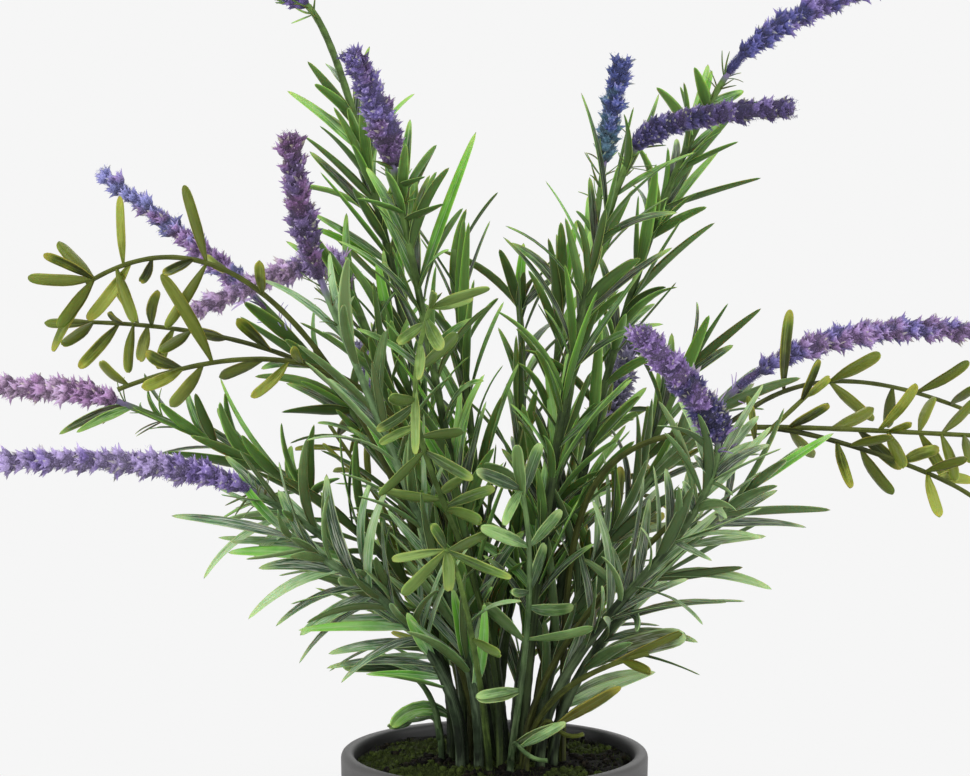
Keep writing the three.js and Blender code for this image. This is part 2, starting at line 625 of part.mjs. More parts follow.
// The blade numbered `index` on a shoot, from its row's place on the stem to its row's tip. Each
// try moves the tip a little along Y.
function aimedBlade(kind, shoot, key, index, attempt, [t, ...end]) {
  const { at: root, along } = rootAt(shoot, t);
  const turns = Math.ceil(attempt / 2) * (attempt % 2 ? 1 : -1);
  const tip = new THREE.Vector3(...end);
  tip.y += turns * DEPTH_PER_TRY;
  const span = tip.sub(root);
  const ahead = span.dot(along);
  const aside = span.clone().addScaledVector(along, -ahead);
  const out = aside.clone().normalize();
  const curl = toRadians(mix(...kind.curl, draw(key, index, attempt, DRAW.curl)));
  return {
    kind,
    root,
    along,
    out,
    across: new THREE.Vector3().crossVectors(along, out),
    length: (span.length() * 0.5 * curl) / Math.sin(0.5 * curl),
    lean: Math.atan2(aside.length(), ahead) - 0.5 * curl,
    curl,
    roll: toRadians(mix(...kind.roll, draw(key, index, DRAW.roll)) * (index % 2 ? 1 : -1)),
    twist: toRadians(kind.twist * swing(key, index, DRAW.twist)),
    sway: 0,
  };
}

// The place, width direction and upper side of a blade at the share u of its length.
function stationOf(blade, u) {
  const start = blade.lean;
  const angle = start + blade.curl * u;
  const ahead = (Math.sin(angle) - Math.sin(start)) / blade.curl;
  const away = (Math.cos(start) - Math.cos(angle)) / blade.curl;
  const at = blade.root
    .clone()
    .addScaledVector(blade.along, blade.length * ahead)
    .addScaledVector(blade.out, blade.length * away)
    .addScaledVector(blade.across, blade.length * blade.sway * u * u);
  const face = new THREE.Vector3()
    .addScaledVector(blade.along, Math.sin(angle))
    .addScaledVector(blade.out, -Math.cos(angle));
  const turn = blade.roll + blade.twist * u;
  const wide = new THREE.Vector3()
    .addScaledVector(blade.across, Math.cos(turn))
    .addScaledVector(face, Math.sin(turn));
  const upper = new THREE.Vector3()
    .addScaledVector(face, Math.cos(turn))
    .addScaledVector(blade.across, -Math.sin(turn));
  const width = blade.kind.width * Math.min(1, blade.length / FULL_WIDTH_LENGTH);
  return { at, wide, upper, half: 0.5 * width * blade.kind.profile(u) };
}

// A blade as a closed solid of three-sided sections, two edges and a keel, from a point at its root.
function bladeGeometry(blade) {
  const rings = [[blade.root]];
  blade.kind.stations.forEach((u) => {
    const { at, wide, upper, half } = stationOf(blade, u);
    rings.push([
      at.clone().addScaledVector(wide, half),
      at.clone().addScaledVector(wide, -half),
      at.clone().addScaledVector(upper, -blade.kind.keel * (1 - KEEL_THINNING * u)),
    ]);
  });
  if (blade.kind.pointed) {
    rings.push([stationOf(blade, 1).at]);
  }
  return skin(rings);
}

// The balls that stand for a blade in the room.
function bladeBalls(blade, owner) {
  const balls = [];
  const steps = Math.ceil(blade.length / SAMPLE_STEP);
  for (let i = 2; i <= steps; i += 1) {
    const { at: middle, wide, half } = stationOf(blade, i / steps);
    const atRoot = i * SAMPLE_STEP < ROOT_ZONE;
    for (const share of SAMPLE_COLUMNS) {
      const at = middle.clone().addScaledVector(wide, share * half);
      balls.push({ at, radius: SAMPLE_RADIUS, owner, atRoot });
    }
  }
  return balls;
}

// Whether a point keeps clear of the pot's lip and the soil.
function clearsPot(at) {
  const inside = Math.hypot(at.x, at.y) < SOIL_REACH;
  return at.z > (inside ? LOWEST_OVER_SOIL : LOWEST_OVER_LIP);
}

// The curve of a flower spike, which goes on from the tip of its stem.
function spikeCurve(row, shoot) {
  const along = shoot.curve.getTangent(1);
  const foot = shoot.curve.getPoint(1).addScaledVector(along, GAP);
  const tip = new THREE.Vector3(...row.spike);
  const length = foot.distanceTo(tip);
  const bend = foot.clone().addScaledVector(along, row.bend * length);
  const curve = new THREE.QuadraticBezierCurve3(foot, bend, tip);
  const heading = new THREE.Vector3(tip.x - row.foot[0], tip.y - row.foot[1], 0);
  return { curve, heading, length };
}

// The radius of a row's spike at the share u of its length, as a share of its girth.
function spikeSwell({ bare = 0, taper = SWELL_TAPER }, u) {
  const swollen = THREE.MathUtils.smoothstep(u, bare, bare + SWELL_SPAN);
  const pastShoulder = Math.max(0, u - SWELL_SHOULDER) / (1 - SWELL_SHOULDER);
  return mix(BARE_SHARE, 1, swollen) * (1 - taper * pastShoulder);
}

// The whorls of a flower spike, whose points are turned by half a step from one to the next.
function spikeGeometry(row, spike) {
  const whorls = Math.round(spike.length / WHORL_PITCH);
  const sides = 2 * WHORL_POINTS;
  const rings = [ringAt(frameAt(spike.curve, spike.heading, 0), sides, () => SPIKE_FOOT_RADIUS)];
  for (let i = 0; i < whorls; i += 1) {
    const pitch = spike.length / whorls;
    const odd = i % 2;
    const waist = frameAt(spike.curve, spike.heading, (i + WAIST_PLACE) / whorls);
    const star = frameAt(spike.curve, spike.heading, (i + POINTS_PLACE) / whorls);
    const radius = row.girth * spikeSwell(row, (i + 0.5) / whorls);
    const isPoint = (k) => k % 2 === odd;
    rings.push(ringAt(waist, sides, () => radius * WAIST_SHARE));
    rings.push(ringAt(star, sides, (k) => radius * (isPoint(k) ? 1 : VALLEY_SHARE),
      (k) => (isPoint(k) ? FLORET_FORWARD * pitch : 0)));
  }
  rings.push([spike.curve.getPoint(1)]);
  return skin(rings);
}

// The pot: one closed profile turned about the upright axis.
function potGeometry() {
  const profile = [
    [0, 0],
    [POT_BASE_RADIUS - POT_FOOT_BEVEL, 0],
    [POT_BASE_RADIUS, POT_FOOT_BEVEL],
    ...LIP_OUTLINE.map(([inward, down]) => [POT_LIP_RADIUS - inward, POT_HEIGHT - down]),
    [POT_BASE_RADIUS - POT_WALL, POT_FLOOR],
    [0, POT_FLOOR],
  ];
  return new THREE.LatheGeometry(
    profile.map(([r, z]) => new THREE.Vector2(r, z)),
    POT_SIDES,
  ).rotateX(Math.PI / 2);
}

// The height of the soil, which falls a little and ripples from the level middle to the pot.
function soilHeight(x, y, reach) {
  const radius = Math.hypot(x, y);
  const share = Math.max(0, radius - SOIL_LEVEL_RADIUS) / (reach - SOIL_LEVEL_RADIUS);
  const ripple =
    Math.sin(x * RIPPLE_TURNS[0] + RIPPLE_SHIFTS[0]) *
    Math.cos(y * RIPPLE_TURNS[1] + RIPPLE_SHIFTS[1]);
  return SOIL_TOP - share * (SOIL_FALL + SOIL_RIPPLE * ripple);
}

// The inner radius of the pot at a height, less the gap to the soil.
function soilRadius(z) {
  const [inward, down] = LIP_OUTLINE.at(-1);
  const share = (z - POT_FLOOR) / (POT_HEIGHT - down - POT_FLOOR);
  const inner = mix(POT_BASE_RADIUS - POT_WALL, POT_LIP_RADIUS - inward, Math.min(share, 1));
  return inner - 2 * GAP;
}

// The soil with one plain hole for each planted stem.
function soilGeometry(planted) {
  const reach = soilRadius(SOIL_TOP);
  const ring = (radius, heightAt) =>
    Array.from({ length: SOIL_SIDES }, (_, k) => {
      const angle = (2 * Math.PI * k) / SOIL_SIDES;
      const x = radius * Math.cos(angle);
      const y = radius * Math.sin(angle);
      return new THREE.Vector3(x, y, heightAt(x, y));
    });
  const bottom = POT_FLOOR + GAP;
  const onTop = (x, y) => soilHeight(x, y, reach);
  const body = skin([
    [new THREE.Vector3(0, 0, bottom)],
    ring(soilRadius(bottom), () => bottom),
    ring(reach, onTop),
    ring((reach + SOIL_LEVEL_RADIUS) / 2, onTop),
    ring(SOIL_LEVEL_RADIUS, onTop),
    [new THREE.Vector3(0, 0, onTop(0, 0))],
  ]);
  return planted.reduce((soil, { shoot, radius }) => {
    const mouth = frameAt(shoot.curve, shoot.heading, 0);
    const end = frameAt(shoot.curve, shoot.heading, 0);
    end.at.z -= HOLE_DEPTH + GAP;
    mouth.at.z += HOLE_DEPTH;
    const wide = radius + HOLE_GAP;
    const hole = skin([ringAt(end, TUBE_SIDES, () => wide), ringAt(mouth, TUBE_SIDES, () => wide)]);
    return soil.subtract(solidOf(hole));
  }, solidOf(body));
}

const root = new THREE.Group();

// Adds a named piece to the part.
function addPiece(name, geometry, finish) {
  const mesh = new THREE.Mesh(geometry, new THREE.MeshStandardMaterial(FINISHES[finish]));
  mesh.name = name;
  root.add(mesh);
}

// Every plant of the pot, with the tubes that it is made of, the stretches that carry its blades
// and its flower spike, if it has one.
const lavender = LAVENDER.map((row, i) => {
  const shoot = shootCurve(row);
  const radius = LAVENDER_RADII[0];
  const leaves = OUTER_LEAVES[row.name] ?? [];
  return {
    row,
    name: `lavender_stem_${row.name}`,
    kind: LAVENDER_BLADE,
    tubes: [tube(shoot, LAVENDER_RADII, true)],
    stretches: [
      { shoot, key: LAVENDER_KEY + i, pairs: row.pairs, from: row.from, to: row.to, radius },
      { shoot, key: OUTER_KEY + i, leaves, radius },
    ],
    spike: row.spike ? spikeCurve(row, shoot) : null,
  };
});

const sprigs = SPRIGS.map((row, i) => {
  const main = shootCurve(row);
  const branches = row.branches.map((branch, j) => {
    const shoot = branchCurve(main, branch);
    const key = BRANCH_KEY + KEYS_PER_SPRIG * i + j;
    return { shoot, key, leaves: branch.leaves, radius: BRANCH_RADII[0] };
  });
  return {
    row,
    name: `sprig_${row.name}`,
    kind: SPRIG_BLADE,
    tubes: [
      tube(main, SPRIG_RADII, true),
      ...branches.map(({ shoot }) => tube(shoot, BRANCH_RADII, false)),
    ],
    stretches: [
      { shoot: main, key: SPRIG_KEY + i, pairs: row.pairs, from: row.from, to: 1,
        leaves: row.leaves, radius: SPRIG_RADII[0] },
      ...branches,
    ],
    spike: null,
  };
});

const plants = [...lavender, ...sprigs];
const room = new Room();

// Puts balls along a curve into the room.
function fillCurve(shoot, radius, owner, isStem) {
  const steps = Math.ceil(shoot.curve.getLength() / STEM_SAMPLE_STEP);
  for (let i = 0; i <= steps; i += 1) {
    room.put({ at: shoot.curve.getPoint(i / steps), radius, owner, isStem });
  }
}

for (const plant of plants) {
  for (const { shoot, radius } of plant.stretches) {
    fillCurve(shoot, radius, plant.name, true);
  }
  if (plant.spike) {
    fillCurve(plant.spike, plant.row.girth, `${plant.name} spike`, false);
  }
}

// Blades with places of their own come first, then the others. Each kind is placed in rounds, one
// pair a round on each stretch, so that no plant takes all the room. The first try that keeps clear
// is used, and a blade with no clear try is left out.
const placed = new Map(plants.map((plant) => [plant.name, []]));

function placeBlade(plant, stretch, index) {
  const { shoot, key, pairs, from, to, leaves } = stretch;
  const shift = PAIR_SHIFT * swing(key, index, DRAW.shift);
  const t = mix(to, from, (Math.floor(index / 2) + 0.5 + shift) / pairs);
  for (let attempt = 0; attempt < TRIES; attempt += 1) {
    const blade = leaves
      ? aimedBlade(plant.kind, shoot, key, index, attempt, leaves[index])
      : bladeOf(plant.kind, shoot, key, index, attempt, t);
    const balls = bladeBalls(blade, plant.name);
    if (balls.every((ball) => clearsPot(ball.at) && room.isClear(ball))) {
      balls.forEach((ball) => room.put(ball));
      placed.get(plant.name).push(bladeGeometry(blade));
      return;
    }
  }
}

const bladeCount = (stretch) => stretch.leaves?.length ?? 2 * stretch.pairs;

function placeInRounds(turns) {
  const most = Math.max(...turns.map(({ stretch }) => bladeCount(stretch)));
  for (let first = 0; first < most; first += 2) {
    for (const { plant, stretch } of turns) {
      for (const index of [first, first + 1].filter((k) => k < bladeCount(stretch))) {
        placeBlade(plant, stretch, index);
      }
    }
  }
}

const turns = plants.flatMap((plant) => plant.stretches.map((stretch) => ({ plant, stretch })));
placeInRounds(turns.filter(({ stretch }) => stretch.leaves));
placeInRounds(turns.filter(({ stretch }) => !stretch.leaves));

addPiece("pot", potGeometry(), "pot");
const planted = plants.map((plant) => plant.stretches[0]);
addPiece("soil", geometryOf(soilGeometry(planted)), "soil");
for (const plant of plants) {
  const whole = join([...plant.tubes, ...placed.get(plant.name)]);
  addPiece(plant.name, geometryOf(whole), plant.row.tone);
  if (plant.spike) {
    addPiece(`flower_spike_${plant.row.name}`, spikeGeometry(plant.row, plant.spike),
      plant.row.bloom);
  }
}

export default root;
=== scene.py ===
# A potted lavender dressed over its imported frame: fine leaves on every shoot, flocked flower spikes,
# crumbly soil with moss, and a moulded pot. Shapes are worked out in millimetres and become metres
# when a mesh is made. +Z is up, and -Y faces the camera.

import math
from itertools import combinations
from types import SimpleNamespace

import bpy
import numpy as np
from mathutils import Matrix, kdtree


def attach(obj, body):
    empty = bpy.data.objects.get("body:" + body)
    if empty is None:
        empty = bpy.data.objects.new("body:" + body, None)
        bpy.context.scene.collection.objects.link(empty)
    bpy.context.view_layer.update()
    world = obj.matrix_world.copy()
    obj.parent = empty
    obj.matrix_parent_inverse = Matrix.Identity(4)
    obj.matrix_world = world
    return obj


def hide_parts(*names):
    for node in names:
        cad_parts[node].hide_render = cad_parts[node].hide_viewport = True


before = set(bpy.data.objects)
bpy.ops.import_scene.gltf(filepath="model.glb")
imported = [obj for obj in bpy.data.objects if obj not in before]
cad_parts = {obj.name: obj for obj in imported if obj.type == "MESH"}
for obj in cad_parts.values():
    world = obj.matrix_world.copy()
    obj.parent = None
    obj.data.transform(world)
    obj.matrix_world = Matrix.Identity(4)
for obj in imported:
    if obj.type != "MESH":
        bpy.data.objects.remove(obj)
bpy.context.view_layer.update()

MM = 0.001

# The camera stands where the photograph's stood. Its far limit is in metres.
IMAGE_WIDTH = 970
FOCAL_PIXELS = 3562
SENSOR_WIDTH = 36
CAMERA_PLACE = (-3.7, -1367, 411)
CAMERA_PITCH = 6.65
FAR_LIMIT = 100

# Soft square lights, in metres and watts, the point that they face, and the sky's own light.
LIGHTS = {
    "left": dict(place=(-1.5, -0.8, 0.9), size=1.3, watts=28),
    "right": dict(place=(1.5, -0.7, 0.7), size=1.3, watts=24),
    "top": dict(place=(-0.1, 0.2, 1.9), size=1.1, watts=15),
    "front": dict(place=(-0.3, -2.4, 0.7), size=1.4, watts=24),
    "back": dict(place=(0.4, 1.6, 1.4), size=1.2, watts=9),
}
LIGHT_AIM = (0, 0, 0.24)
WORLD_STRENGTH = 0.2

# The floor, in metres, which curves up into a wall at the back. It is dull near the pot and evenly
# lit from within farther out.
STAGE_HALF_WIDTH = 9
STAGE_FRONT = -9
STAGE_BACK = 6
STAGE_BEND = 3
STAGE_TOP = 9
BEND_POINTS = 16
NEAR_FLOOR = 0.16
FAR_FLOOR = 0.5

# The pot and its soil, as in the frame.
POT_HEIGHT = 109
POT_BASE_RADIUS = 42
POT_LIP_RADIUS = 60
POT_WALL = 2.6
POT_FLOOR = 3
SOIL_TOP = 105.5
SOIL_REACH = 54.1
SOIL_LEVEL_RADIUS = 30
SOIL_FALL = 1.2

# The pot's rounded foot, as points inward from its base radius and up, and its lip's outline, as
# points inward from the lip's radius and down. Its points from ROLL_START up to ROLL_END are the
# roll, which is a little paler.
POT_SIDES = 144
FOOT_OUTLINE = [(1.2, 0), (0.35, 0.35), (0, 1.2)]
LIP_OUTLINE = [
    (1.8, 12), (0.6, 11.9), (0.3, 11.5), (0.15, 10.8), (0, 2.4), (0.15, 1.5), (0.5, 0.75), (1.1, 0.25),
    (2, 0), (3.2, 0), (4.1, 0.25), (4.75, 0.8), (5.1, 1.6), (5.25, 2.8), (5.4, 13),
]
ROLL_START = 4
ROLL_END = 11
FLOOR_ROUNDING = 1

# The bed of soil: its gap to the pot, its mesh, and the waves that make it uneven, each by how fast
# it runs along X and Y and where it starts.
SOIL_PLAY = 1.5
SOIL_BOTTOM = POT_FLOOR + 0.4
SOIL_RINGS = 46
SOIL_SECTORS = 150
SOIL_MIDDLE_SHARE = 0.0005
SOIL_EDGE_DEPTH = 6
WAVES = ((0.21, 0.17, 1.3), (0.47, -0.39, 0.4), (-0.93, 0.71, 2.1), (1.7, 1.9, 0.9), (2.9, -2.3, 1.7))
WAVE_HEIGHT = 0.42
WAVE_FADE = 0.6
SOIL_TINT = 0.3
SOIL_TINT_SWING = 0.2
MOSS_ON_SOIL = 0.7

# Where moss grows: the sum of blotches, made of one wave along X and one along Y, and of slanting
# stripes, with more moss on the left. It is bare below MOSS_RANGE and full above it.
MOSS_BLOTCHES = ((0.11, 0.9), (0.13, 0.4))
MOSS_STRIPES = (0.31, -0.27)
MOSS_STRIPE_HEIGHT = 0.5
MOSS_LEVEL = 0.5
MOSS_PER_MM_LEFT = 0.012
MOSS_RANGE = (0.1, 0.9)

# Crumbs, moss and root fibres on the soil. Sizes are in millimetres. The seeds start their random draws.
CRUMB_SEED, MOSS_SEED, FIBRE_SEED = 71, 72, 73
CRUMBS = 1700
CRUMB_SIZES = (0.45, 1.7)
CRUMB_SMALLNESS = 3
CRUMB_STRETCH = (0.6, 1.3)
CRUMB_DENTS = (0.72, 1.2)
CRUMB_RISE = 0.25
CRUMB_MARGIN = 2.2
CRUMB_TINTS = (0, 0.9)
CRUMB_MOSS = (0.6, 1)
GOLDEN = (1 + math.sqrt(5)) / 2
BALL_EDGE = 1.1
MOSS_BLADES = 5200
MOSS_EVERYWHERE = 0.15
MOSS_LENGTHS = (0.5, 1.5)
MOSS_WIDTHS = (0.1, 0.25)
MOSS_TILT = 0.6
MOSS_SINK = 0.1
MOSS_MARGIN = 1.5
FIBRES = 90
FIBRE_STEPS = (7, 14)
FIBRE_STEP = 0.8
FIBRE_BEND = 0.25
FIBRE_RADIUS = 0.12
FIBRE_RISE = 0.35
FIBRE_WAVE = 0.25
FIBRE_WAVE_PITCH = 1.1
FIBRE_MARGIN = 6
FIBRE_EDGE = 2
FIBRE_TINTS = (0.5, 1.2)

# How the frame builds its shoots and blades.
GAP = 0.3
HOLE_DEPTH = 16
TUBE_STEP_LENGTH = 38
LAVENDER_RADII = (2.8, 1.7)
SPRIG_RADII = (1.9, 1.2)
BRANCH_RADII = (1.4, 1.1)
BRANCH_START = 16
PAIR_TURN = 90
PARTNER_TURN = 180
TURN_SWING = 22
PAIR_SHIFT = 0.42
TRIES = 18
TURN_PER_TRY = 14
CUT_PER_TRY = 0.018
DEPTH_PER_TRY = 2
FULL_WIDTH_LENGTH = 21
SPRIG_END_SHARE = 0.4
SAME_POINT = 0.02

# The keys of the frame's random draws.
LAVENDER_KEY = 100
SPRIG_KEY = 200
BRANCH_KEY = 300
OUTER_KEY = 400
ADDED_KEY = 500
KEYS_PER_SPRIG = 10
DRAW_TURN, DRAW_LENGTH, DRAW_LEAN, DRAW_CURL, DRAW_TWIST, DRAW_SWAY, DRAW_SHIFT, DRAW_ROLL = range(1, 9)
DRAW_TINT, DRAW_FRESH = 9, 10
HASH_START = 2166136261
HASH_FACTORS = (16777619, 2246822519)
HASH_SHIFTS = (15, 13)
HASH_SIZE = 2**32

# Leaves that fill the room between those of the frame, in pairs. None grows lower than FILL_START
# on a stem. The room is sampled at these shares of a leaf's length.
CLEARANCE = 1.2
OWN_CLEARANCE = 0.5
FILL_TRIES = 7
FILL_PITCH = 12
FILL_START = 0.34
FILL_INDEX = 1000
TRIED_SHARES = np.linspace(0.28, 1, 12)
TAKEN_SHARES = np.linspace(0.15, 1, 24)
STEM_SAMPLE_STEP = 1.2
SPIKE_SAMPLES = 24
SPIKE_SAMPLE_SIDES = 8
SPIKE_SAMPLE_GIRTH = 0.6
LOWEST_OVER_LIP = POT_HEIGHT + 2
LOWEST_OVER_SOIL = SOIL_TOP + 3

# How leaves differ from each other, how their width and thickness change along them, and how a
# fresh one turns bright from its root to its tip.
TINTS = (-0.1, 1.05)
WIDTHS = (0.86, 1.2)
FOLD_LEVEL = 0.4
THIN_END = 0.55
LAVENDER_FOOT = 0.4
LAVENDER_OPENING = 2
LAVENDER_BLUNTNESS = 2.4
SPRIG_FOOT = 0.24
SPRIG_OPENING = 3.2
SPRIG_SOFTNESS = 1.15
SPRIG_BLUNTNESS = 12
FRESH_SHARE = 0.05
FRESH_SPAN = (-0.1, 0.9)
FRESHEST = 0.95
BRIGHT_TIP_SPAN = (0.6, 1.1)
BRIGHT_TIP = 0.35
SPOON_FOLD = 0.3
ADDED_TWIST = 12

# Stems, slimmer than the frame's, with soft corners and a swelling where leaves leave them. A stem
# under a flower spike takes its dye over the last millimetres.
STEM_SIDES = 12
STEM_RING_GAP = 1.6
STEM_SQUARENESS = 0.12
STEM_FOOT_SHARE = 0.8
LAVENDER_SLIMNESS = 0.72
SPRIG_SLIMNESS = 0.7
NODE_PITCH = 9.5
NODE_SWELL = 0.07
NODE_SHARPNESS = 4
DYE_START = 4
DYE_END = 2

# The slender forked bracts under a flower spike.
BRACT_INDEX = 2000
BRACT_PAIRS = 4
BRACT_START = 0.92
PRONGS = 2

# A flower spike is a run of whorls, as in the frame. Here its waists are on the core that the
# florets stand on, and it closes in a tuft.
WHORL_PITCH = 11
BARE_SHARE = 0.42
SWELL_SPAN = 0.22
SWELL_SHOULDER = 0.35
SWELL_TAPER = 0.38
SPIKE_SEED = 500
CORE_END = 0.985
CORE_RINGS_PER_WHORL = 8
CORE_SIDES = 10
CORE_WAIST = 0.22
CORE_TINT = 0.05
BARE_FREE = 0.8
TUFT_FLORETS = 6
TUFT_REACH = 0.36
TUFT_LENGTH = 4.5
TUFT_SHORTNESS = 0.8

# How florets stand: rows in each whorl as place and reach, how many go round, how far out their
# feet are, the core's and the florets' girth, and how uneven it all is.
STARRY = SimpleNamespace(
    rows=((0.1, 0.74), (0.46, 1.04), (0.8, 0.78)), count=6, foot=0.34, core=0.6, fullness=1.15,
    unevenness=0.08,
)
PACKED = SimpleNamespace(
    rows=((0.1, 0.8), (0.4, 0.9), (0.7, 0.88)), count=9, foot=0.5, core=0.72, fullness=1.3,
    unevenness=0.14,
)
FLORET_EVENNESS = 0.25
FLORET_TURN_SWING = 0.18
FLORET_SINK = 0.14
FLORET_REACHES = (0.84, 1.06)
FLORET_ADVANCES = (0.12, 0.36)

# A floret: a swollen tube, given by rings as place and radius, whose mouth opens in pointed lobes.
# Sizes are shares of the floret's length.
CALYX_SHARE = 0.62
CALYX_RINGS = ((0, 0.15), (0.4, 0.27), (0.8, 0.28), (1, 0.2))
CALYX_SIDES = 7
FLORET_TILT = 0.1
FLORET_TINTS = (0.2, 0.7)
CALYX_DEEPER = 0.45
CALYX_MOUTH_PALER = 0.4
LOBES = 5
LOBE_RADIUS = 0.13
LOBE_SINK = 0.1
LOBE_WIDTH = 0.14
LOBE_LENGTHS = (0.22, 0.52)
LOBE_SPREADS = (0.14, 0.46)
LOBE_FOOT_DEEPER = 0.1
LOBE_END_PALER = (0.1, 0.6)
SPECK_SHARE = 0.16
SPECK_STRENGTH = 0.75

# The short flock fibres all over the florets, and on the core between them.
PILE_PER_FLORET = 42
PILE_LENGTHS = (0.3, 0.85)
PILE_WIDTH = 0.085
PILE_SPAN = 0.95
PILE_START = 0.1
PILE_GIRTHS = ((0, 0.5, 1), (0.2, 0.25, 0.28))
PILE_SINK = 0.9
PILE_FORWARD = 0.7
PILE_DISORDER = 0.5
PILE_TINT = (0.1, 0.5)
PILE_TINT_SWING = (-0.15, 0.3)
CORE_PILE_PER_MM = 55
CORE_PILE_LENGTHS = (0.4, 1.3)
CORE_PILE_SINK = 0.95
CORE_PILE_FORWARD = 0.4
CORE_PILE_TINTS = (0.1, 0.7)

# Colours, as six hex digits. Shades run from deep to light. A leaf's look has its rims, a pale
# margin with painted rim light on it, and its underside, how dusty it is, how pale its rib is, and
# how wide it is beside the frame's.
LEAF_LOOKS = {
    "green": dict(shades=("10240a", "284a17", "477829", "7cb050"), rim="a0c668", under="455c2e",
                  dust=0.25, rib=0.24, wideness=1),
    "dusty": dict(shades=("1a2c1a", "36502c", "567646", "86a66c"), rim="acc88c", under="465a34",
                  dust=0.38, rib=0.28, wideness=1),
    "grey": dict(shades=("1c381d", "386234", "5e8c50", "90b278"), rim="a6c480", under="4e5c34",
                 dust=0.5, rib=0.25, wideness=1),
    "olive": dict(shades=("282e08", "444e12", "626c20", "868e3c"), rim="a09a3c", under="566020",
                  dust=0, rib=0.05, wideness=0.76),
    "sage": dict(shades=("283e20", "3c582c", "54743c", "82a462"), rim="a8c07c", under="44582e",
                 dust=0.1, rib=0.15, wideness=0.78),
    "lime": dict(shades=("2a3e12", "3f591c", "56702c", "77904a"), rim="98a654", under="4c5e2a",
                 dust=0.05, rib=0.1, wideness=0.76),
}
FRESH_GREEN = "6cb038"
AGED_BROWN = "342d10"
DUST = "d2d9cc"
PALE_RIB = "bfd0a6"
STEM_LOOKS = {
    "green": dict(shades=("11180e", "1e2917", "364624", "567038"), light="6d8450"),
    "dusty": dict(shades=("11180e", "20291b", "3c4c2e", "607a4a"), light="7e9468"),
    "grey": dict(shades=("11180e", "222f1d", "405436", "668057"), light="8aa07c"),
    "olive": dict(shades=("1b1e0a", "2a2f12", "3b4219", "515923"), light="687030"),
    "sage": dict(shades=("1a2514", "2a3c20", "3e5430", "5a7444"), light="84986e"),
    "lime": dict(shades=("1a2410", "2c3c18", "425628", "607a38"), light="748a44"),
}
STEM_DYE = "6c6282"

# Each flower spike's colours at its foot and at its end, whether its florets are packed, and
# whether the bracts under it are flocked too.
SPIKE_LOOKS = {
    "01": dict(foot="5a4070", end="665a9c", packed=True),
    "02": dict(foot="544270", end="744e7e", packed=True),
    "03": dict(foot="9a76b0", end="8588c8", flocked_bracts=True),
    "04": dict(foot="a68ec8", end="c8a6d2", flocked_bracts=True),
    "05": dict(foot="b488bc", end="d0b0d4"),
    "06": dict(foot="7e6ab0", end="aa98cc"),
    "07": dict(foot="446c80", end="465298"),
    "08": dict(foot="3a346c", end="584880", packed=True),
    "09": dict(foot="4a4c92", end="705fa2"),
    "10": dict(foot="262458", end="7e62a0", packed=True, flocked_bracts=True),
    "11": dict(foot="746cb0", end="a282ba", flocked_bracts=True),
    "12": dict(foot="6c589a", end="7a6eae"),
    "13": dict(foot="4a4860", end="56526e"),
    "14": dict(foot="5a5678", end="6c6888"),
}
PALE_FLOCK = "dccdf4"
FLOCK_SHADES = (-0.55, -0.2, 0.15, 0.62)
BLOOM_SPECK = "b4b886"
BLOOM_SHEEN = "d6d0e0"
EARTH_SHADES = ("040302", "0a0806", "14110b", "2a251a")
MOSS_SHADES = ("151c0a", "2a3513", "46541f", "6d7836")
POT_SHADES = ("2e2e2f", "343435", "3a3939")
POT_RIM = "646260"
POT_RIM_SHARE = 0.3
FLOOR_COLOUR = "f6f6f6"
NEAR_FLOOR_COLOUR = "d2d2d2"
SKY_COLOUR = "ffffff"
BLACK = "000000"

# Grain of the skins. A noise's scale is in waves to the millimetre, and streaks have one scale
# across and one along. Noise seldom leaves the range NOISE_RANGE, and streaks STREAK_RANGE.
NOISE_RANGE = (0.3, 0.7)
STREAK_RANGE = (0.25, 0.75)
STREAK_CHANGE = 37.0
LEAF_CLOUD = 0.12
LEAF_CLOUD_SWING = 0.16
LEAF_STREAKS = (4.0, 2.5)
LEAF_STREAK_SWING = 0.2
LEAF_LENGTH_SHADES = (-0.3, 0.22)
# Painted shade: one half of a leaf is made lighter and the other darker, as light would fall on a fold.
FOLD_SHADE_SPAN = 0.3
PAINTED_FOLD_SHADE = 0.09
UNDERSIDE_START = 0.4
UNDERSIDE_SHARE = 0.75
FRESH_MIDDLE = 0.55
FRESH_EDGE = 0.9
DUST_STREAKS = (11.0, 5.0)
DUST_RANGE = (0.42, 0.7)
DUST_FREE = 0.5
RIB_RANGE = (0.02, 0.12)
# Painted rim light: the upper side is paler at its rims and its tip, partly a pale margin of the leaf's
# own and partly light on the edges and through the leaf.
MARGIN_AND_RIM_LIGHT_RANGE = (0.8, 0.98)
RIM_SHARE = 0.7
TIP_START = 0.78
LEAF_GRAIN = 1.6
LEAF_STRIPES = 15.0
LEAF_STRIPE_HEIGHT = 0.3
LEAF_ROUGHNESS = (0.34, 0.52)
LEAF_GLOSS = 0.17
LEAF_GLOW = 0.18
LEAF_GLOW_DEPTH = 0.0015
STEM_CLOUD = 0.15
STEM_CLOUD_SWING = 0.2
STEM_GRAIN = 1.0
STEM_STREAKS = (3.0, 9.0)
STEM_STREAK_RANGE = (0.4, 0.75)
STEM_STREAK_SHARE = 0.3
STEM_RIDGES = 15.0
STEM_RIDGE_HEIGHT = 0.5
STEM_ROUGHNESS = (0.45, 0.7)
STEM_GLOSS = 0.15
BLOOM_GRAIN = 1.4
BLOOM_GRAIN_SWING = 0.2
BLOOM_CLOUD = 0.09
BLOOM_CLOUD_SWING = 0.5
BLOOM_CHANGE = (0.2, 0.8)
SOIL_GRAIN = 0.9
SOIL_GRAIN_SWING = 0.3
SOIL_GLOSS = 0.15
POT_CLOUD = 0.05
POT_GRAIN = 2.5
POT_ROUGHNESS = (0.5, 0.62)
BLOOM_ROUGHNESS = 0.95
BLOOM_SHEEN_SHARE = 0.15
BLOOM_SHEEN_ROUGHNESS = 0.5
SOIL_ROUGHNESS = 0.92
FLOOR_ROUGHNESS = 0.9

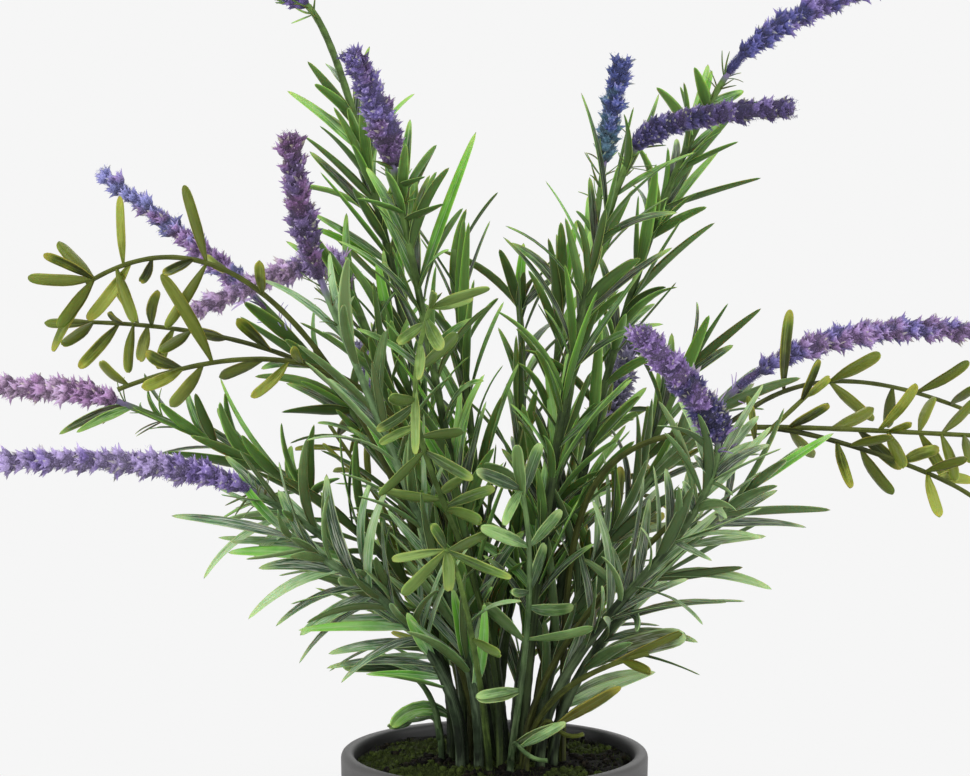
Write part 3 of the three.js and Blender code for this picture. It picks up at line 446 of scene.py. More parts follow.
# How strong the fine relief of each skin is, and how many millimetres deep.
LEAF_RELIEF = (0.4, 0.12)
STEM_RELIEF = (0.6, 0.35)
BLOOM_RELIEF = (0.8, 0.4)
SOIL_RELIEF = (0.9, 0.8)
POT_RELIEF = (0.25, 0.08)

# Lavender shoots: where each stands, how far it pulls straight up there, its tip, the pull into the
# tip, the stretch with leaves, and its flower spike's end, radius and bend, the share of it that is
# slender at the foot, and how much of its radius is lost towards its end. look: its colours, where
# they aren't those of its tone.
LAVENDER = [
    dict(name="01", foot=(3, -7), rise=16, tip=(-38, -35, 340), reach=(-14, -12, 73),
         start=0.3, end=0.94, pairs=6, tone="green",
         spike=(-53, -62, 382), girth=7.8, taper=0.45, bend=0.42, bloom="mauve"),
    dict(name="02", foot=(-6, -14), rise=42, tip=(-65, -47, 298), reach=(-52, -18, 130),
         start=0.24, end=0.94, pairs=8, tone="grey",
         spike=(-75, -64, 353), girth=7, bare=0.24, bend=0.35, bloom="mauve"),
    dict(name="03", foot=(-11.5, 6.5), rise=21, tip=(-97, 36, 286), reach=(-88, 20, 84),
         start=0.28, end=0.9, pairs=6, tone="green",
         spike=(-158, 56, 332), girth=5.8, bend=0.2, bloom="violet"),
    dict(name="04", foot=(-1.5, 1), rise=43, tip=(-60, 9, 299), reach=(-22, 2, 52),
         start=0.3, end=0.93, pairs=6, tone="green",
         spike=(-116, -12, 282), girth=7, bend=0.12, bloom="mauve"),
    dict(name="05", foot=(-16.5, 1.5), rise=40, tip=(-148, 20, 244), reach=(-132, 11, 49),
         start=0.2, end=0.94, pairs=4, tone="green", open_out=6,
         spike=(-213, 30, 248), girth=6.8, bare=0.08, bend=0.3, bloom="mauve"),
    dict(name="06", foot=(-12, -7), rise=51, tip=(-92, -38, 217), reach=(-34, -5, 20),
         start=0.17, end=0.96, pairs=4, tone="grey", open_out=10,
         spike=(-190, -62, 231), girth=7, bare=0.1, bend=0.3, bloom="violet"),
    dict(name="07", foot=(10.5, 3), rise=40, tip=(43, 30, 338), reach=(9, 8, 73),
         start=0.3, end=0.84, pairs=5, tone="green",
         spike=(50, 26, 378), girth=6.2, taper=0.15, bend=0.4, bloom="blue"),
    dict(name="08", foot=(10.5, -5.5), rise=15, tip=(54, -16, 346), reach=(29, -9, 50),
         start=0.3, end=0.96, pairs=8, tone="green",
         spike=(112, -40, 361), girth=5.2, taper=0.1, bend=0.22, bloom="violet"),
    dict(name="09", foot=(18, 5), rise=40, tip=(93, 57, 371), reach=(47, 20, 69),
         start=0.34, end=0.92, pairs=5, tone="green", open_out=3,
         spike=(156, 78, 406), girth=7, bare=0.2, bend=0.35, bloom="blue"),
    dict(name="10", foot=(17.5, -14.5), rise=55, tip=(82, -66, 241), reach=(-3, -12, 43),
         start=0.2, end=0.94, pairs=5, tone="green", look="dusty",
         spike=(50, -108, 285), girth=8, bend=0.14, bloom="blue"),
    dict(name="11", foot=(16, -2.5), rise=14, tip=(95, 15, 250), reach=(70, 14, 58),
         start=0.2, end=0.94, pairs=7, tone="green", look="dusty",
         spike=(206, 35, 268), girth=6.8, bare=0.16, bend=0.42, bloom="mauve"),
    dict(name="12", foot=(-6.5, 13), rise=13, tip=(-75, 46, 399), reach=(-26, 8, 16),
         start=0.32, end=0.77, pairs=5, tone="green",
         spike=(-106, 60, 414), girth=5.6, bend=0.3, bloom="violet"),
    dict(name="13", foot=(8, 19.5), rise=20, tip=(48, 95, 231), reach=(36, 42, 63),
         start=0.24, end=0.94, pairs=5, tone="green",
         spike=(56, 142, 262), girth=7, bend=0.35, bloom="mauve"),
    dict(name="14", foot=(-5, 20), rise=20, tip=(-41, 88, 224), reach=(-39, 54, 91),
         start=0.24, end=0.94, pairs=5, tone="grey",
         spike=(-56, 136, 254), girth=7, bend=0.35, bloom="violet"),
    dict(name="15", foot=(4, 6.5), rise=16, tip=(-16, 42, 302), reach=(-11, 32, 120),
         start=0.3, end=1, pairs=5, tone="green"),
    dict(name="16", foot=(0, 14), rise=20, tip=(10, 62, 278), reach=(-6, 26, 60),
         start=0.34, end=1, pairs=4, tone="green"),
    dict(name="17", foot=(8.5, 11), rise=16, tip=(27, 38, 286), reach=(8, 9, 100),
         start=0.26, end=1, pairs=4, tone="green"),
    dict(name="18", foot=(-13, -14.5), rise=57, tip=(-78, -56, 204), reach=(-24, -6, 20),
         start=0.17, end=1, pairs=4, tone="grey", open_out=10),
    dict(name="19", foot=(25, 4.5), rise=39, tip=(77, 36, 258), reach=(40, 15, 90),
         start=0.26, end=1, pairs=4, tone="green"),
    dict(name="20", foot=(-4, 7), rise=42, tip=(-44, 14, 284), reach=(-30, -2, 100),
         start=0.3, end=1, pairs=5, tone="green"),
    dict(name="21", foot=(22.5, -9), rise=38, tip=(95, -32, 216), reach=(29, -6, 28),
         start=0.2, end=1, pairs=3, tone="green", look="dusty", open_out=8),
]

# Lavender leaves with places of their own, by shoot: the share along the stem where each grows,
# and the place of its tip.
OUTER_LEAVES = {
    "01": [
        (0.96, -49, -50, 342), (0.94, -32, -17, 356), (0.92, -51, -48, 328), (0.94, -22, -17, 346),
        (0.96, -26, -45, 336), (0.91, -19, -48, 326), (0.88, -22, -15, 336), (0.86, -17, -46, 339),
        (0.81, -7, -33, 352), (0.81, -12, -12, 322),
    ],
    "03": [
        (0.91, -98, 20, 283), (0.85, -88, 37, 267), (0.81, -76, 19, 252), (0.81, -83, 10, 241),
        (0.88, -93, 45, 254),
    ],
    "05": [
        (0.95, -136, 23, 248), (0.9, -130, 7, 245), (0.9, -122, 28, 251), (0.89, -116, 5, 249),
        (0.85, -113, 26, 226), (0.8, -98, 3, 233), (0.78, -108, 26, 253), (0.84, -107, 10, 245),
        (0.75, -70, 4, 237), (0.77, -80, 24, 226), (0.75, -60, 3, 216), (0.78, -72, 20, 220),
    ],
    "06": [
        (0.99, -122, -26, 211), (0.99, -112, -43, 205), (0.87, -106, -23, 202), (0.83, -91, -40, 191),
        (0.63, -75, -31, 193), (0.7, -106, -24, 196), (0.43, -72, -13, 162), (0.32, -61, 0, 149),
        (0.24, -33, -16, 166),
    ],
    "07": [
        (0.87, 32, 32, 318), (0.84, 43, 13, 315),
    ],
    "08": [
        (0.81, 48, -17, 315), (0.73, 55, -26, 304),
    ],
    "09": [
        (0.79, 106, 48, 330), (0.75, 83, 24, 320), (0.67, 88, 51, 312), (0.66, 67, 21, 289),
        (0.63, 64, 47, 280), (0.61, 51, 15, 279), (0.71, 63, 22, 337), (0.74, 69, 52, 342),
        (0.89, 64, 45, 366), (0.9, 74, 56, 366), (0.94, 79, 44, 374), (0.94, 100, 61, 364),
        (0.84, 96, 36, 345),
    ],
    "10": [
        (0.88, 73, -70, 235), (0.89, 97, -56, 238), (0.86, 88, -64, 219), (0.81, 86, -62, 210),
        (0.76, 69, -68, 225), (0.9, 99, -52, 246), (0.84, 101, -71, 239), (0.67, 81, -54, 193),
        (0.64, 63, -61, 229), (0.81, 63, -52, 241),
    ],
    "12": [
        (0.81, -67, 56, 375), (0.77, -70, 22, 368), (0.74, -55, 53, 369), (0.72, -57, 20, 359),
        (0.72, -68, 52, 356), (0.69, -68, 19, 352), (0.68, -55, 18, 345), (0.67, -75, 39, 347),
        (0.65, -73, 38, 341), (0.63, -55, 16, 328), (0.61, -71, 17, 318), (0.59, -72, 25, 312),
    ],
    "15": [
        (0.88, -12, 37, 315), (0.87, -10, 26, 314), (0.93, -11, 41, 318),
    ],
    "16": [
        (0.99, 2, 56, 301), (0.99, 12, 77, 302), (0.99, 25, 56, 290), (0.99, 16, 68, 289),
        (0.99, 12, 56, 292),
    ],
    "17": [
        (0.94, 21, 23, 308), (0.97, 26, 25, 314), (0.98, 33, 53, 313), (0.96, 33, 21, 306),
        (0.93, 23, 48, 288), (0.99, 25, 54, 307),
    ],
    "18": [
        (0.84, -101, -35, 193), (0.73, -88, -59, 191), (0.53, -71, -48, 187), (0.61, -74, -34, 161),
        (0.44, -74, -43, 165), (0.37, -63, -40, 155), (0.26, -45, -15, 149), (0.21, -49, -33, 146),
    ],
    "19": [
        (0.97, 95, 41, 264), (0.94, 84, 20, 278),
    ],
    "21": [
        (0.99, 129, -23, 237), (0.85, 120, -12, 199), (0.65, 105, -36, 179), (0.64, 104, -12, 202),
        (0.89, 106, -45, 220), (0.42, 77, -32, 159), (0.2, 63, 5, 139), (0.33, 51, -27, 154),
        (0.49, 53, -13, 189), (0.55, 34, -25, 187),
    ],
}

# Which of these leaves are fresh, as bright as the newest growth.
FRESH_LEAVES = {
    "01": (8,), "03": (0, 1, 2), "05": (1, 4, 5), "06": (4, 8), "09": (6, 7), "12": (1, 6, 11),
    "15": (0, 1, 2), "17": (2,), "18": (0, 4, 7), "19": (1,), "21": (0,),
}

# Leaves added to those of the frame, most of them low down: the frame's node and the share along
# its stem where each grows, its tip, its width, its curl and roll in degrees, whether it is shaped
# like a spoon, how deep it is folded, and whether it is fresh or how aged it is.
ADDED_LEAVES = [
    dict(on="lavender_stem_21", t=0.155, tip=(47, -22, 139), width=5.4, curl=-14, roll=-20,
         spoon=True, aged=0.75),
    dict(on="sprig_05", t=0.153, tip=(27, -36, 127), width=5.0, curl=16, roll=-25,
         spoon=True, aged=0.5),
    dict(on="lavender_stem_21", t=0.348, tip=(72, -44, 163), width=9.2, curl=12, roll=25,
         spoon=True, aged=0.8),
    dict(on="lavender_stem_21", t=0.226, tip=(62, -20, 144), width=2.8, curl=46, roll=30,
         aged=0.2),
    dict(on="lavender_stem_21", t=0.509, tip=(54, -32, 162), width=4.2, curl=120, roll=20,
         spoon=True, aged=0.1),
    dict(on="lavender_stem_18", t=0.246, tip=(-49, -34, 146), width=3.6, curl=14, roll=20,
         fresh=True),
    dict(on="lavender_stem_18", t=0.32, tip=(-45, -16, 149), width=2.8, curl=24, roll=30,
         aged=0.2),
    dict(on="sprig_05", t=0.356, tip=(-7, -44, 139), width=6.6, curl=-10, roll=-35,
         spoon=True, fold=2.6, aged=0.45),
    dict(on="lavender_stem_05", t=0.128, tip=(-40, -8, 120), width=5.6, curl=96, roll=30,
         spoon=True, aged=0.1),
    dict(on="lavender_stem_18", t=0.316, tip=(-33, -46, 172), width=5.4, curl=12, roll=20,
         fresh=True),
    dict(on="lavender_stem_02", t=0.263, tip=(-4, -36, 174), width=4.6, curl=-24, roll=30,
         fresh=True),
    dict(on="lavender_stem_02", t=0.3, tip=(-16, -32, 179), width=4.8, curl=10, roll=-30,
         fresh=True),
    dict(on="lavender_stem_05", t=0.99, tip=(-170, 12, 232), width=4.2, curl=20, roll=10,
         aged=0.3),
    dict(on="lavender_stem_05", t=0.985, tip=(-163, 10, 233), width=4.4, curl=14, roll=-20,
         aged=0.2),
]

# Filler sprigs, some forked. leaves: the share along the stem where each leaf grows, and the place
# of its tip. A sprig without them has pairs of leaves by rule. at: where a branch leaves the stem.
# aged: how brown the leaves are, from 0 to 1.
SPRIGS = [
    dict(name="01", foot=(-4.5, -7), rise=8, tip=(-156, -10, 293), reach=(-100, 29, -64),
         tone="olive", branches=[],
         leaves=[
             (0.99, -179, -6, 295), (0.99, -171, -21, 305), (0.99, -168, 2, 308),
             (0.99, -166, -19, 277), (0.99, -169, -6, 267), (0.95, -142, -18, 327),
             (0.94, -156, -9, 279), (0.96, -136, -27, 280), (0.83, -118, -15, 331),
             (0.83, -125, -25, 277), (0.85, -124, -39, 299), (0.74, -88, -41, 304),
             (0.91, -136, -3, 293), (0.79, -111, 0, 303),
         ]),
    dict(name="02", foot=(-9.5, -2), rise=28, tip=(-143, -26, 254), reach=(-146, -20, -56),
         tone="olive",
         leaves=[
             (0.99, -147, -45, 267), (0.94, -134, -5, 266), (0.94, -132, -43, 257),
             (0.92, -125, -3, 245), (0.91, -126, -26, 298), (0.85, -106, -1, 256),
             (0.82, -92, -32, 252), (0.8, -76, -32, 271),
         ],
         branches=[
             dict(at=0.7, tip=(-169, 14, 276), reach=(-74, 2, 0),
                  leaves=[
                      (0.94, -177, 29, 274), (0.94, -166, -7, 269), (0.89, -163, 22, 257),
                      (0.88, -148, -1, 281), (0.85, -149, 28, 288), (0.86, -141, -4, 258),
                      (0.83, -140, 30, 259), (0.82, -129, -8, 290), (0.77, -132, 27, 256),
                      (0.73, -128, -12, 267), (0.63, -116, 24, 271), (0.49, -98, -17, 280),
                  ]),
         ]),
    dict(name="03", foot=(26.5, -4), rise=145.5, tip=(196, 5, 232), reach=(163.5, 43, -13),
         tone="olive",
         leaves=[
             (0.79, 126, -30, 249), (0.84, 147, 6, 243), (0.89, 161, -15, 255), (0.87, 158, 2, 220),
             (0.9, 156, -24, 224), (0.93, 172, 17, 246), (0.9, 159, -17, 240), (0.93, 177, 9, 214),
             (0.95, 176, -15, 218), (0.95, 188, 17, 245), (0.97, 182, -18, 225), (0.75, 97, -28, 250),
         ],
         branches=[
             dict(at=0.67, tip=(195, 40, 235), reach=(80, 10, -36),
                  leaves=[
                      (0.48, 115, 18, 281), (0.65, 150, 10, 264), (0.65, 150, 32, 235),
                      (0.87, 187, 28, 259), (0.82, 158, 50, 230), (0.94, 188, 17, 250),
                  ]),
             dict(at=0.76, tip=(185, -30, 210), reach=(7, -10, -10),
                  leaves=[
                      (0.13, 124, 6, 224), (0.33, 135, -30, 217), (0.42, 154, -5, 211),
                      (0.38, 150, -33, 237), (0.57, 172, -1, 228), (0.67, 168, -37, 207),
                      (0.71, 185, -3, 216), (0.66, 178, -37, 229),
                  ]),
         ]),
    dict(name="04", foot=(11, -13), rise=51, tip=(120, -14, 251), reach=(48, 24, 42),
         tone="olive", branches=[],
         leaves=[
             (0.98, 122, -32, 266), (0.99, 130, 6, 255), (0.86, 98, -4, 247), (0.82, 81, -42, 232),
         ]),
    dict(name="05", foot=(6, -21), rise=15, tip=(7, -66, 231), reach=(-14, -10, 39),
         tone="sage",
         leaves=[
             (0.89, 8, -72, 239), (0.9, 17, -52, 237), (0.92, -7, -79, 230), (0.95, -4, -44, 227),
             (0.92, 3, -82, 211), (0.76, 25, -40, 210), (0.76, -5, -69, 209), (0.64, 19, -33, 196),
             (0.64, 6, -63, 183), (0.6, 30, -29, 171), (0.51, 37, -45, 166), (0.5, -4, -28, 172),
             (0.36, -7, -46, 140),
         ],
         branches=[
             dict(at=0.06, tip=(20, -36, 113), reach=(12, -3, 1),
                  leaves=[(0.53, 27, -38, 128)]),
         ]),
    dict(name="06", foot=(2, -14), rise=106, tip=(-23, -78, 292), reach=(23, -4, 67),
         tone="lime", branches=[],
         leaves=[
             (0.99, -22, -92, 297), (0.99, -8, -59, 292), (0.99, -2, -87, 298), (0.97, -19, -97, 277),
             (0.96, -36, -57, 275), (0.92, -27, -95, 266), (0.86, -14, -60, 279),
             (0.79, -38, -89, 259), (0.78, -44, -53, 242), (0.82, -29, -76, 236),
             (0.69, -12, -43, 240), (0.65, -8, -70, 226), (0.72, -43, -46, 236),
             (0.65, -43, -63, 219), (0.53, -12, -30, 221), (0.49, 0, -31, 217), (0.48, -5, -62, 209),
             (0.51, -44, -40, 218),
         ]),
    dict(name="07", foot=(-2, -20), rise=12, tip=(-18, -82, 202), reach=(-7, -28, 11),
         tone="lime", branches=[],
         leaves=[
             (0.99, -38, -69, 196), (0.99, -34, -87, 186), (0.99, -17, -62, 183), (0.98, 6, -85, 192),
             (0.97, -1, -63, 206), (0.99, -23, -95, 213), (0.56, 2, -61, 159),
         ]),
    dict(name="08", foot=(12, -20.5), rise=30, tip=(58, -44, 156), reach=(20, -4, 6),
         tone="olive", aged=0.65,
         leaves=[
             (0.73, 71, -43, 164), (0.91, 66, -23, 157), (0.84, 58, -60, 152),
         ],
         branches=[
             dict(at=0.2, tip=(34, -30, 122), reach=(12, -4, 6), aged=0.75,
                  leaves=[(0.51, 48, -33, 141)]),
         ]),
    dict(name="09", foot=(-20.5, -4), rise=14, tip=(-37, -12, 144), reach=(-14, -4, 6),
         tone="sage",
         leaves=[
             (0.99, -58, -25, 147), (0.98, -46, 8, 145),
         ],
         branches=[
             dict(at=0.2, tip=(-36, 10, 119), reach=(-10, 5, 1),
                  leaves=[(0.86, -42, 20, 114)]),
         ]),
    dict(name="10", foot=(-13, 15), rise=24, tip=(-67, 72, 228), reach=(-57, 38, 77),
         start=0.4, pairs=4, tone="olive", branches=[]),
    dict(name="11", foot=(16, 12.5), rise=16, tip=(80, 80, 221), reach=(70, 44, 62),
         start=0.4, pairs=4, tone="olive", branches=[]),
]


def mix(low, high, share):
    return low + (high - low) * share


def smooth(low, high, value):
    """0 below low, 1 above high, and a soft step between them."""
    share = np.clip((value - low) / (high - low), 0, 1)
    return share * share * (3 - 2 * share)


def unit(vectors):
    return vectors / np.linalg.norm(vectors, axis=-1, keepdims=True)


def draw(*keys):
    """A random number from 0 to 1 that depends only on the keys, the same as the frame's."""
    value = HASH_START
    for key in keys:
        value = ((value ^ key) * HASH_FACTORS[0]) % HASH_SIZE
        value ^= value >> HASH_SHIFTS[0]
        value = (value * HASH_FACTORS[1]) % HASH_SIZE
        value ^= value >> HASH_SHIFTS[1]
    return value / HASH_SIZE


def swing(*keys):
    """A random number from -1 to 1."""
    return 2 * draw(*keys) - 1


def turns(count, shift=0.0):
    """Angles that divide a full turn evenly, the first of them shift parts along."""
    return (np.arange(count) + shift) * (2 * math.pi / count)


def ring_of(u, v, angle):
    """Directions round a line at these angles, from two that are square to it."""
    return u * np.cos(angle)[..., None] + v * np.sin(angle)[..., None]


# Curves and shoots.

TANGENT_STEP = 1e-4
LENGTH_SAMPLES = 60
UP = np.array((0.0, 0.0, 1.0))


def bezier(pulls, t):
    """The point at t of the curve with these pulls, for one t or an array of them."""
    t = np.asarray(t, float)[..., None]
    rows = list(pulls)
    while len(rows) > 1:
        rows = [mix(a, b, t) for a, b in zip(rows, rows[1:])]
    return rows[0]


class Line:
    """A curve with the level direction it heads for, and the frame round it at any t."""

    def __init__(self, pulls, heading):
        self.pulls = [np.array(pull, float) for pull in pulls]
        self.side = unit(np.cross(UP, heading))

    def at(self, t):
        return bezier(self.pulls, t)

    def frame(self, t):
        """The place, direction and two square directions at t, for one t or an array."""
        t = np.asarray(t, float)
        ahead = self.at(np.minimum(t + TANGENT_STEP, 1))
        along = unit(ahead - self.at(np.maximum(t - TANGENT_STEP, 0)))
        u = unit(self.side - along * (along @ self.side)[..., None])
        return self.at(t), along, u, np.cross(along, u)

    def length(self):
        points = self.at(np.linspace(0, 1, LENGTH_SAMPLES))
        return float(np.linalg.norm(np.diff(points, axis=0), axis=1).sum())


class Shoot(Line):
    """A shoot's line, with the straight steps of its solid in the frame."""

    def __init__(self, pulls, open_out=0):
        span = np.subtract(pulls[-1], pulls[0])
        super().__init__(pulls, span * (1, 1, 0))
        self.steps = math.floor(np.linalg.norm(span) / TUBE_STEP_LENGTH + 0.5) + 1
        self.open_out = open_out

    def chord(self, t):
        """The point at t on the straight step that the frame's tube has there."""
        step = min(math.floor(t * self.steps), self.steps - 1)
        start = self.at(step / self.steps)
        end = self.at((step + 1) / self.steps)
        return mix(start, end, t * self.steps - step)


def main_shoot(row):
    foot = np.array((*row["foot"], SOIL_TOP))
    tip = np.array(row["tip"], float)
    pulls = [foot, foot + UP * row["rise"], tip - row["reach"], tip]
    return Shoot(pulls, row.get("open_out", 0))


def branch_shoot(parent, row):
    _, along, _, _ = parent.frame(row["at"])
    foot = parent.chord(row["at"])
    tip = np.array(row["tip"], float)
    return Shoot([foot, foot + along * BRANCH_START, tip - row["reach"], tip])


def spike_line(row, shoot):
    """The line of a flower spike, which goes on from the tip of its stem."""
    tip_of_stem, along, _, _ = shoot.frame(1.0)
    foot = tip_of_stem + along * GAP
    tip = np.array(row["spike"], float)
    bend = foot + along * row["bend"] * np.linalg.norm(tip - foot)
    return Line([foot, bend, tip], (tip - (*row["foot"], 0)) * (1, 1, 0))


# Blades, placed as in the frame.


class Kind:
    """What the blades of one kind share. Angles are in degrees."""

    def __init__(self, lengths, spread, width, fine_width, lean, closing, curl, roll, twist, sway):
        self.lengths = lengths
        self.spread = spread
        self.width = width
        self.fine_width = fine_width
        self.lean = lean
        self.closing = closing
        self.curl = curl
        self.roll = roll
        self.twist = twist
        self.sway = sway


LAVENDER_BLADE = Kind(
    lengths=(47, 40), spread=0.28, width=5.6, fine_width=4.8, lean=(17, 36), closing=0.45,
    curl=(2, 42), roll=(-58, 58), twist=26, sway=0.09,
)
SPRIG_BLADE = Kind(
    lengths=(27, 24), spread=0.16, width=5.6, fine_width=5.7, lean=(42, 66), closing=0,
    curl=(-26, 18), roll=(48, 100), twist=24, sway=0.1,
)
# Leaves between the frame's own on both kinds of plant, and the slender bracts under a spike.
FILL_BLADE = Kind(
    lengths=(44, 34), spread=0.24, width=4.0, fine_width=4.0, lean=(12, 52), closing=0.35,
    curl=(-8, 58), roll=(-70, 70), twist=34, sway=0.12,
)
SPRIG_FILL_BLADE = Kind(
    lengths=(24, 19), spread=0.26, width=4.4, fine_width=4.4, lean=(28, 76), closing=0,
    curl=(-30, 30), roll=(20, 110), twist=30, sway=0.12,
)
BRACT_BLADE = Kind(
    lengths=(13, 10), spread=0.3, width=1.7, fine_width=1.7, lean=(30, 62), closing=0,
    curl=(-20, 40), roll=(-60, 60), twist=40, sway=0.12,
)


def turns_of(attempt):
    """The turn of a try, which goes farther out on each side in turn."""
    return math.ceil(attempt / 2) * (1 if attempt % 2 else -1)


class Blade:
    """One blade: where it grows, the arc that it follows and how it turns about it."""

    def __init__(self, kind, shoot, key, index, attempt, t):
        self.root = shoot.chord(t)
        self.on_curve, self.along, self.u, self.v = shoot.frame(t)
        self.curl = math.radians(mix(*kind.curl, draw(key, index, attempt, DRAW_CURL)))
        sign = 1 if index % 2 else -1
        self.roll = math.radians(mix(*kind.roll, draw(key, index, DRAW_ROLL)) * sign)
        self.twist = math.radians(kind.twist * swing(key, index, DRAW_TWIST))
        self.tint = draw(key, index, DRAW_TINT)
        self.fresh = draw(key, index, DRAW_FRESH)
        self.aged = 0.0
        self.place(kind, shoot, key, index, attempt, t)
        self.across = np.cross(self.along, self.out)
        self.size = min(1, self.length / FULL_WIDTH_LENGTH)

    def place(self, kind, shoot, key, index, attempt, t):
        """Lean and length by rule, from the draws of the blade's own number."""
        pair, partner = divmod(index, 2)
        degrees = pair * PAIR_TURN + partner * PARTNER_TURN + turns_of(attempt) * TURN_PER_TRY
        angle = math.radians(degrees + TURN_SWING * swing(key, index, DRAW_TURN))
        self.out = self.u * math.cos(angle) + self.v * math.sin(angle)
        grown = mix(*kind.lengths, t) * (1 + kind.spread * swing(key, index, DRAW_LENGTH))
        self.length = grown * (1 - CUT_PER_TRY * attempt)
        closed = 1 - kind.closing * t
        lean = closed * mix(*kind.lean, draw(key, index, attempt, DRAW_LEAN)) + shoot.open_out
        self.lean = math.radians(lean)
        self.sway = kind.sway * swing(key, index, DRAW_SWAY)

    def stations(self, u):
        """The places, width directions and upper sides at the shares u of the blade's length."""
        u = np.asarray(u, float)[:, None]
        angle = self.lean + self.curl * u
        ahead = (np.sin(angle) - math.sin(self.lean)) / self.curl
        away = (math.cos(self.lean) - np.cos(angle)) / self.curl
        sideways = self.sway * u * u
        path = self.along * ahead + self.out * away + self.across * sideways
        at = self.root + self.length * path
        face = self.along * np.sin(angle) - self.out * np.cos(angle)
        turn = self.roll + self.twist * u
        wide = self.across * np.cos(turn) + face * np.sin(turn)
        upper = face * np.cos(turn) - self.across * np.sin(turn)
        return at, wide, upper


class AimedBlade(Blade):
    """A blade whose tip is given. Each try moves the tip a little along Y."""

    def __init__(self, kind, shoot, key, index, attempt, leaf):
        self.tip = np.array(leaf[1:], float)
        super().__init__(kind, shoot, key, index, attempt, leaf[0])

    def place(self, kind, shoot, key, index, attempt, t):
        span = self.tip + (0, turns_of(attempt) * DEPTH_PER_TRY, 0) - self.root
        ahead = span @ self.along
        aside = span - self.along * ahead
        self.out = unit(aside)
        self.length = np.linalg.norm(span) * 0.5 * self.curl / math.sin(0.5 * self.curl)
        self.lean = math.atan2(np.linalg.norm(aside), ahead) - 0.5 * self.curl
        self.sway = 0


# Meshes, gathered ring by ring.


class Skin:
    """Closed skins over runs of rings, gathered into one mesh with named values at its points."""

    def __init__(self, *value_names):
        self.points = []
        self.values = {name: [] for name in value_names}
        self.quads = []
        self.triangles = []
        self.count = 0

    def put(self, points, values):
        start = self.count
        self.points.append(points)
        for name, rows in self.values.items():
            rows.append(np.broadcast_to(values.get(name, 0.0), points.shape[:1]))
        self.count += len(points)
        return start

    def tube(self, rings, values, material=0, head=None, tail=None):
        """A skin over rings of equal size. head and tail are end points, or None for a flat end."""
        runs, size = rings.shape[:2]
        spread = {name: np.broadcast_to(value, (runs, size)) for name, value in values.items()}
        flat = {name: value.reshape(-1) for name, value in spread.items()}
        start = self.put(rings.reshape(-1, 3), flat)
        near = start + np.arange(runs - 1)[:, None] * size + np.arange(size)
        beside = start + np.arange(runs - 1)[:, None] * size + (np.arange(size) + 1) % size
        quads = np.stack([near, beside, beside + size, near + size], axis=-1).reshape(-1, 4)
        self.quads.append((quads, material))
        around = np.arange(size)
        onward = (around + 1) % size
        for ring, point, flip in ((0, head, True), (runs - 1, tail, False)):
            middle = rings[ring].mean(axis=0) if point is None else point
            at_end = {name: value[ring].mean() for name, value in spread.items()}
            tip = self.put(np.asarray(middle, float)[None], at_end)
            first, second = (onward, around) if flip else (around, onward)
            base = start + ring * size
            fan = np.stack([base + first, base + second, np.full(size, tip)], axis=-1)
            self.triangles.append((fan, material))

    def spikes(self, bases, axes, widths, values, material=0):
        """Many three-sided points at once, each from the base out to the end of its axis. A value is
        one number for each point, or a pair of them, for its foot and its end."""
        count = len(bases)
        across = unit(np.cross(axes, np.roll(axes, 1, axis=1) + (0.3, 0.5, 0.7)))
        other = unit(np.cross(axes, across))
        ring = ring_of(across[:, None], other[:, None], turns(3))
        feet = bases[:, None] + ring * widths[:, None, None]
        points = np.concatenate([feet, (bases + axes)[:, None]], axis=1).reshape(-1, 3)
        pairs = {name: np.reshape(value, (count, -1)) for name, value in values.items()}
        spread = {name: pair[:, (0, 0, 0, -1)].ravel() for name, pair in pairs.items()}
        start = self.put(points, spread)
        first = start + 4 * np.arange(count)[:, None]
        for a, b in ((0, 1), (1, 2), (2, 0)):
            faces = np.concatenate([first + a, first + b, first + 3], axis=1)
            self.triangles.append((faces, material))

    def mesh(self, name):
        points = np.concatenate(self.points) * MM
        faces = [*self.quads, *self.triangles]
        corners = [rows.shape[1] for rows, _ in faces for _ in range(len(rows))]
        loops = np.concatenate([rows.reshape(-1) for rows, _ in faces])
        materials = np.concatenate([np.full(len(rows), material) for rows, material in faces])
        made = bpy.data.meshes.new(name)
        made.vertices.add(len(points))
        made.vertices.foreach_set("co", points.astype(np.float32).ravel())
        made.loops.add(len(loops))
        made.loops.foreach_set("vertex_index", loops.astype(np.int32))
        made.polygons.add(len(corners))
        starts = np.concatenate([[0], np.cumsum(corners)[:-1]])
        made.polygons.foreach_set("loop_start", starts.astype(np.int32))
        made.polygons.foreach_set("material_index", materials.astype(np.int32))
        made.update(calc_edges=True)
        made.shade_smooth()
        for value_name, rows in self.values.items():
            layer = made.attributes.new(value_name, "FLOAT", "POINT")
            layer.data.foreach_set("value", np.concatenate(rows).astype(np.float32))
        return made


def add_piece(name, mesh, materials, slot, *replaced):
    """A piece of the plant or pot: it rides on the row's one body and may stand for frame nodes."""
    piece = bpy.data.objects.new(name, mesh)
    bpy.context.scene.collection.objects.link(piece)
    for material in materials:
        mesh.materials.append(material)
    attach(piece, "root")
    if replaced:
        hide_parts(*replaced)
    return piece


# Materials, made of shader nodes.


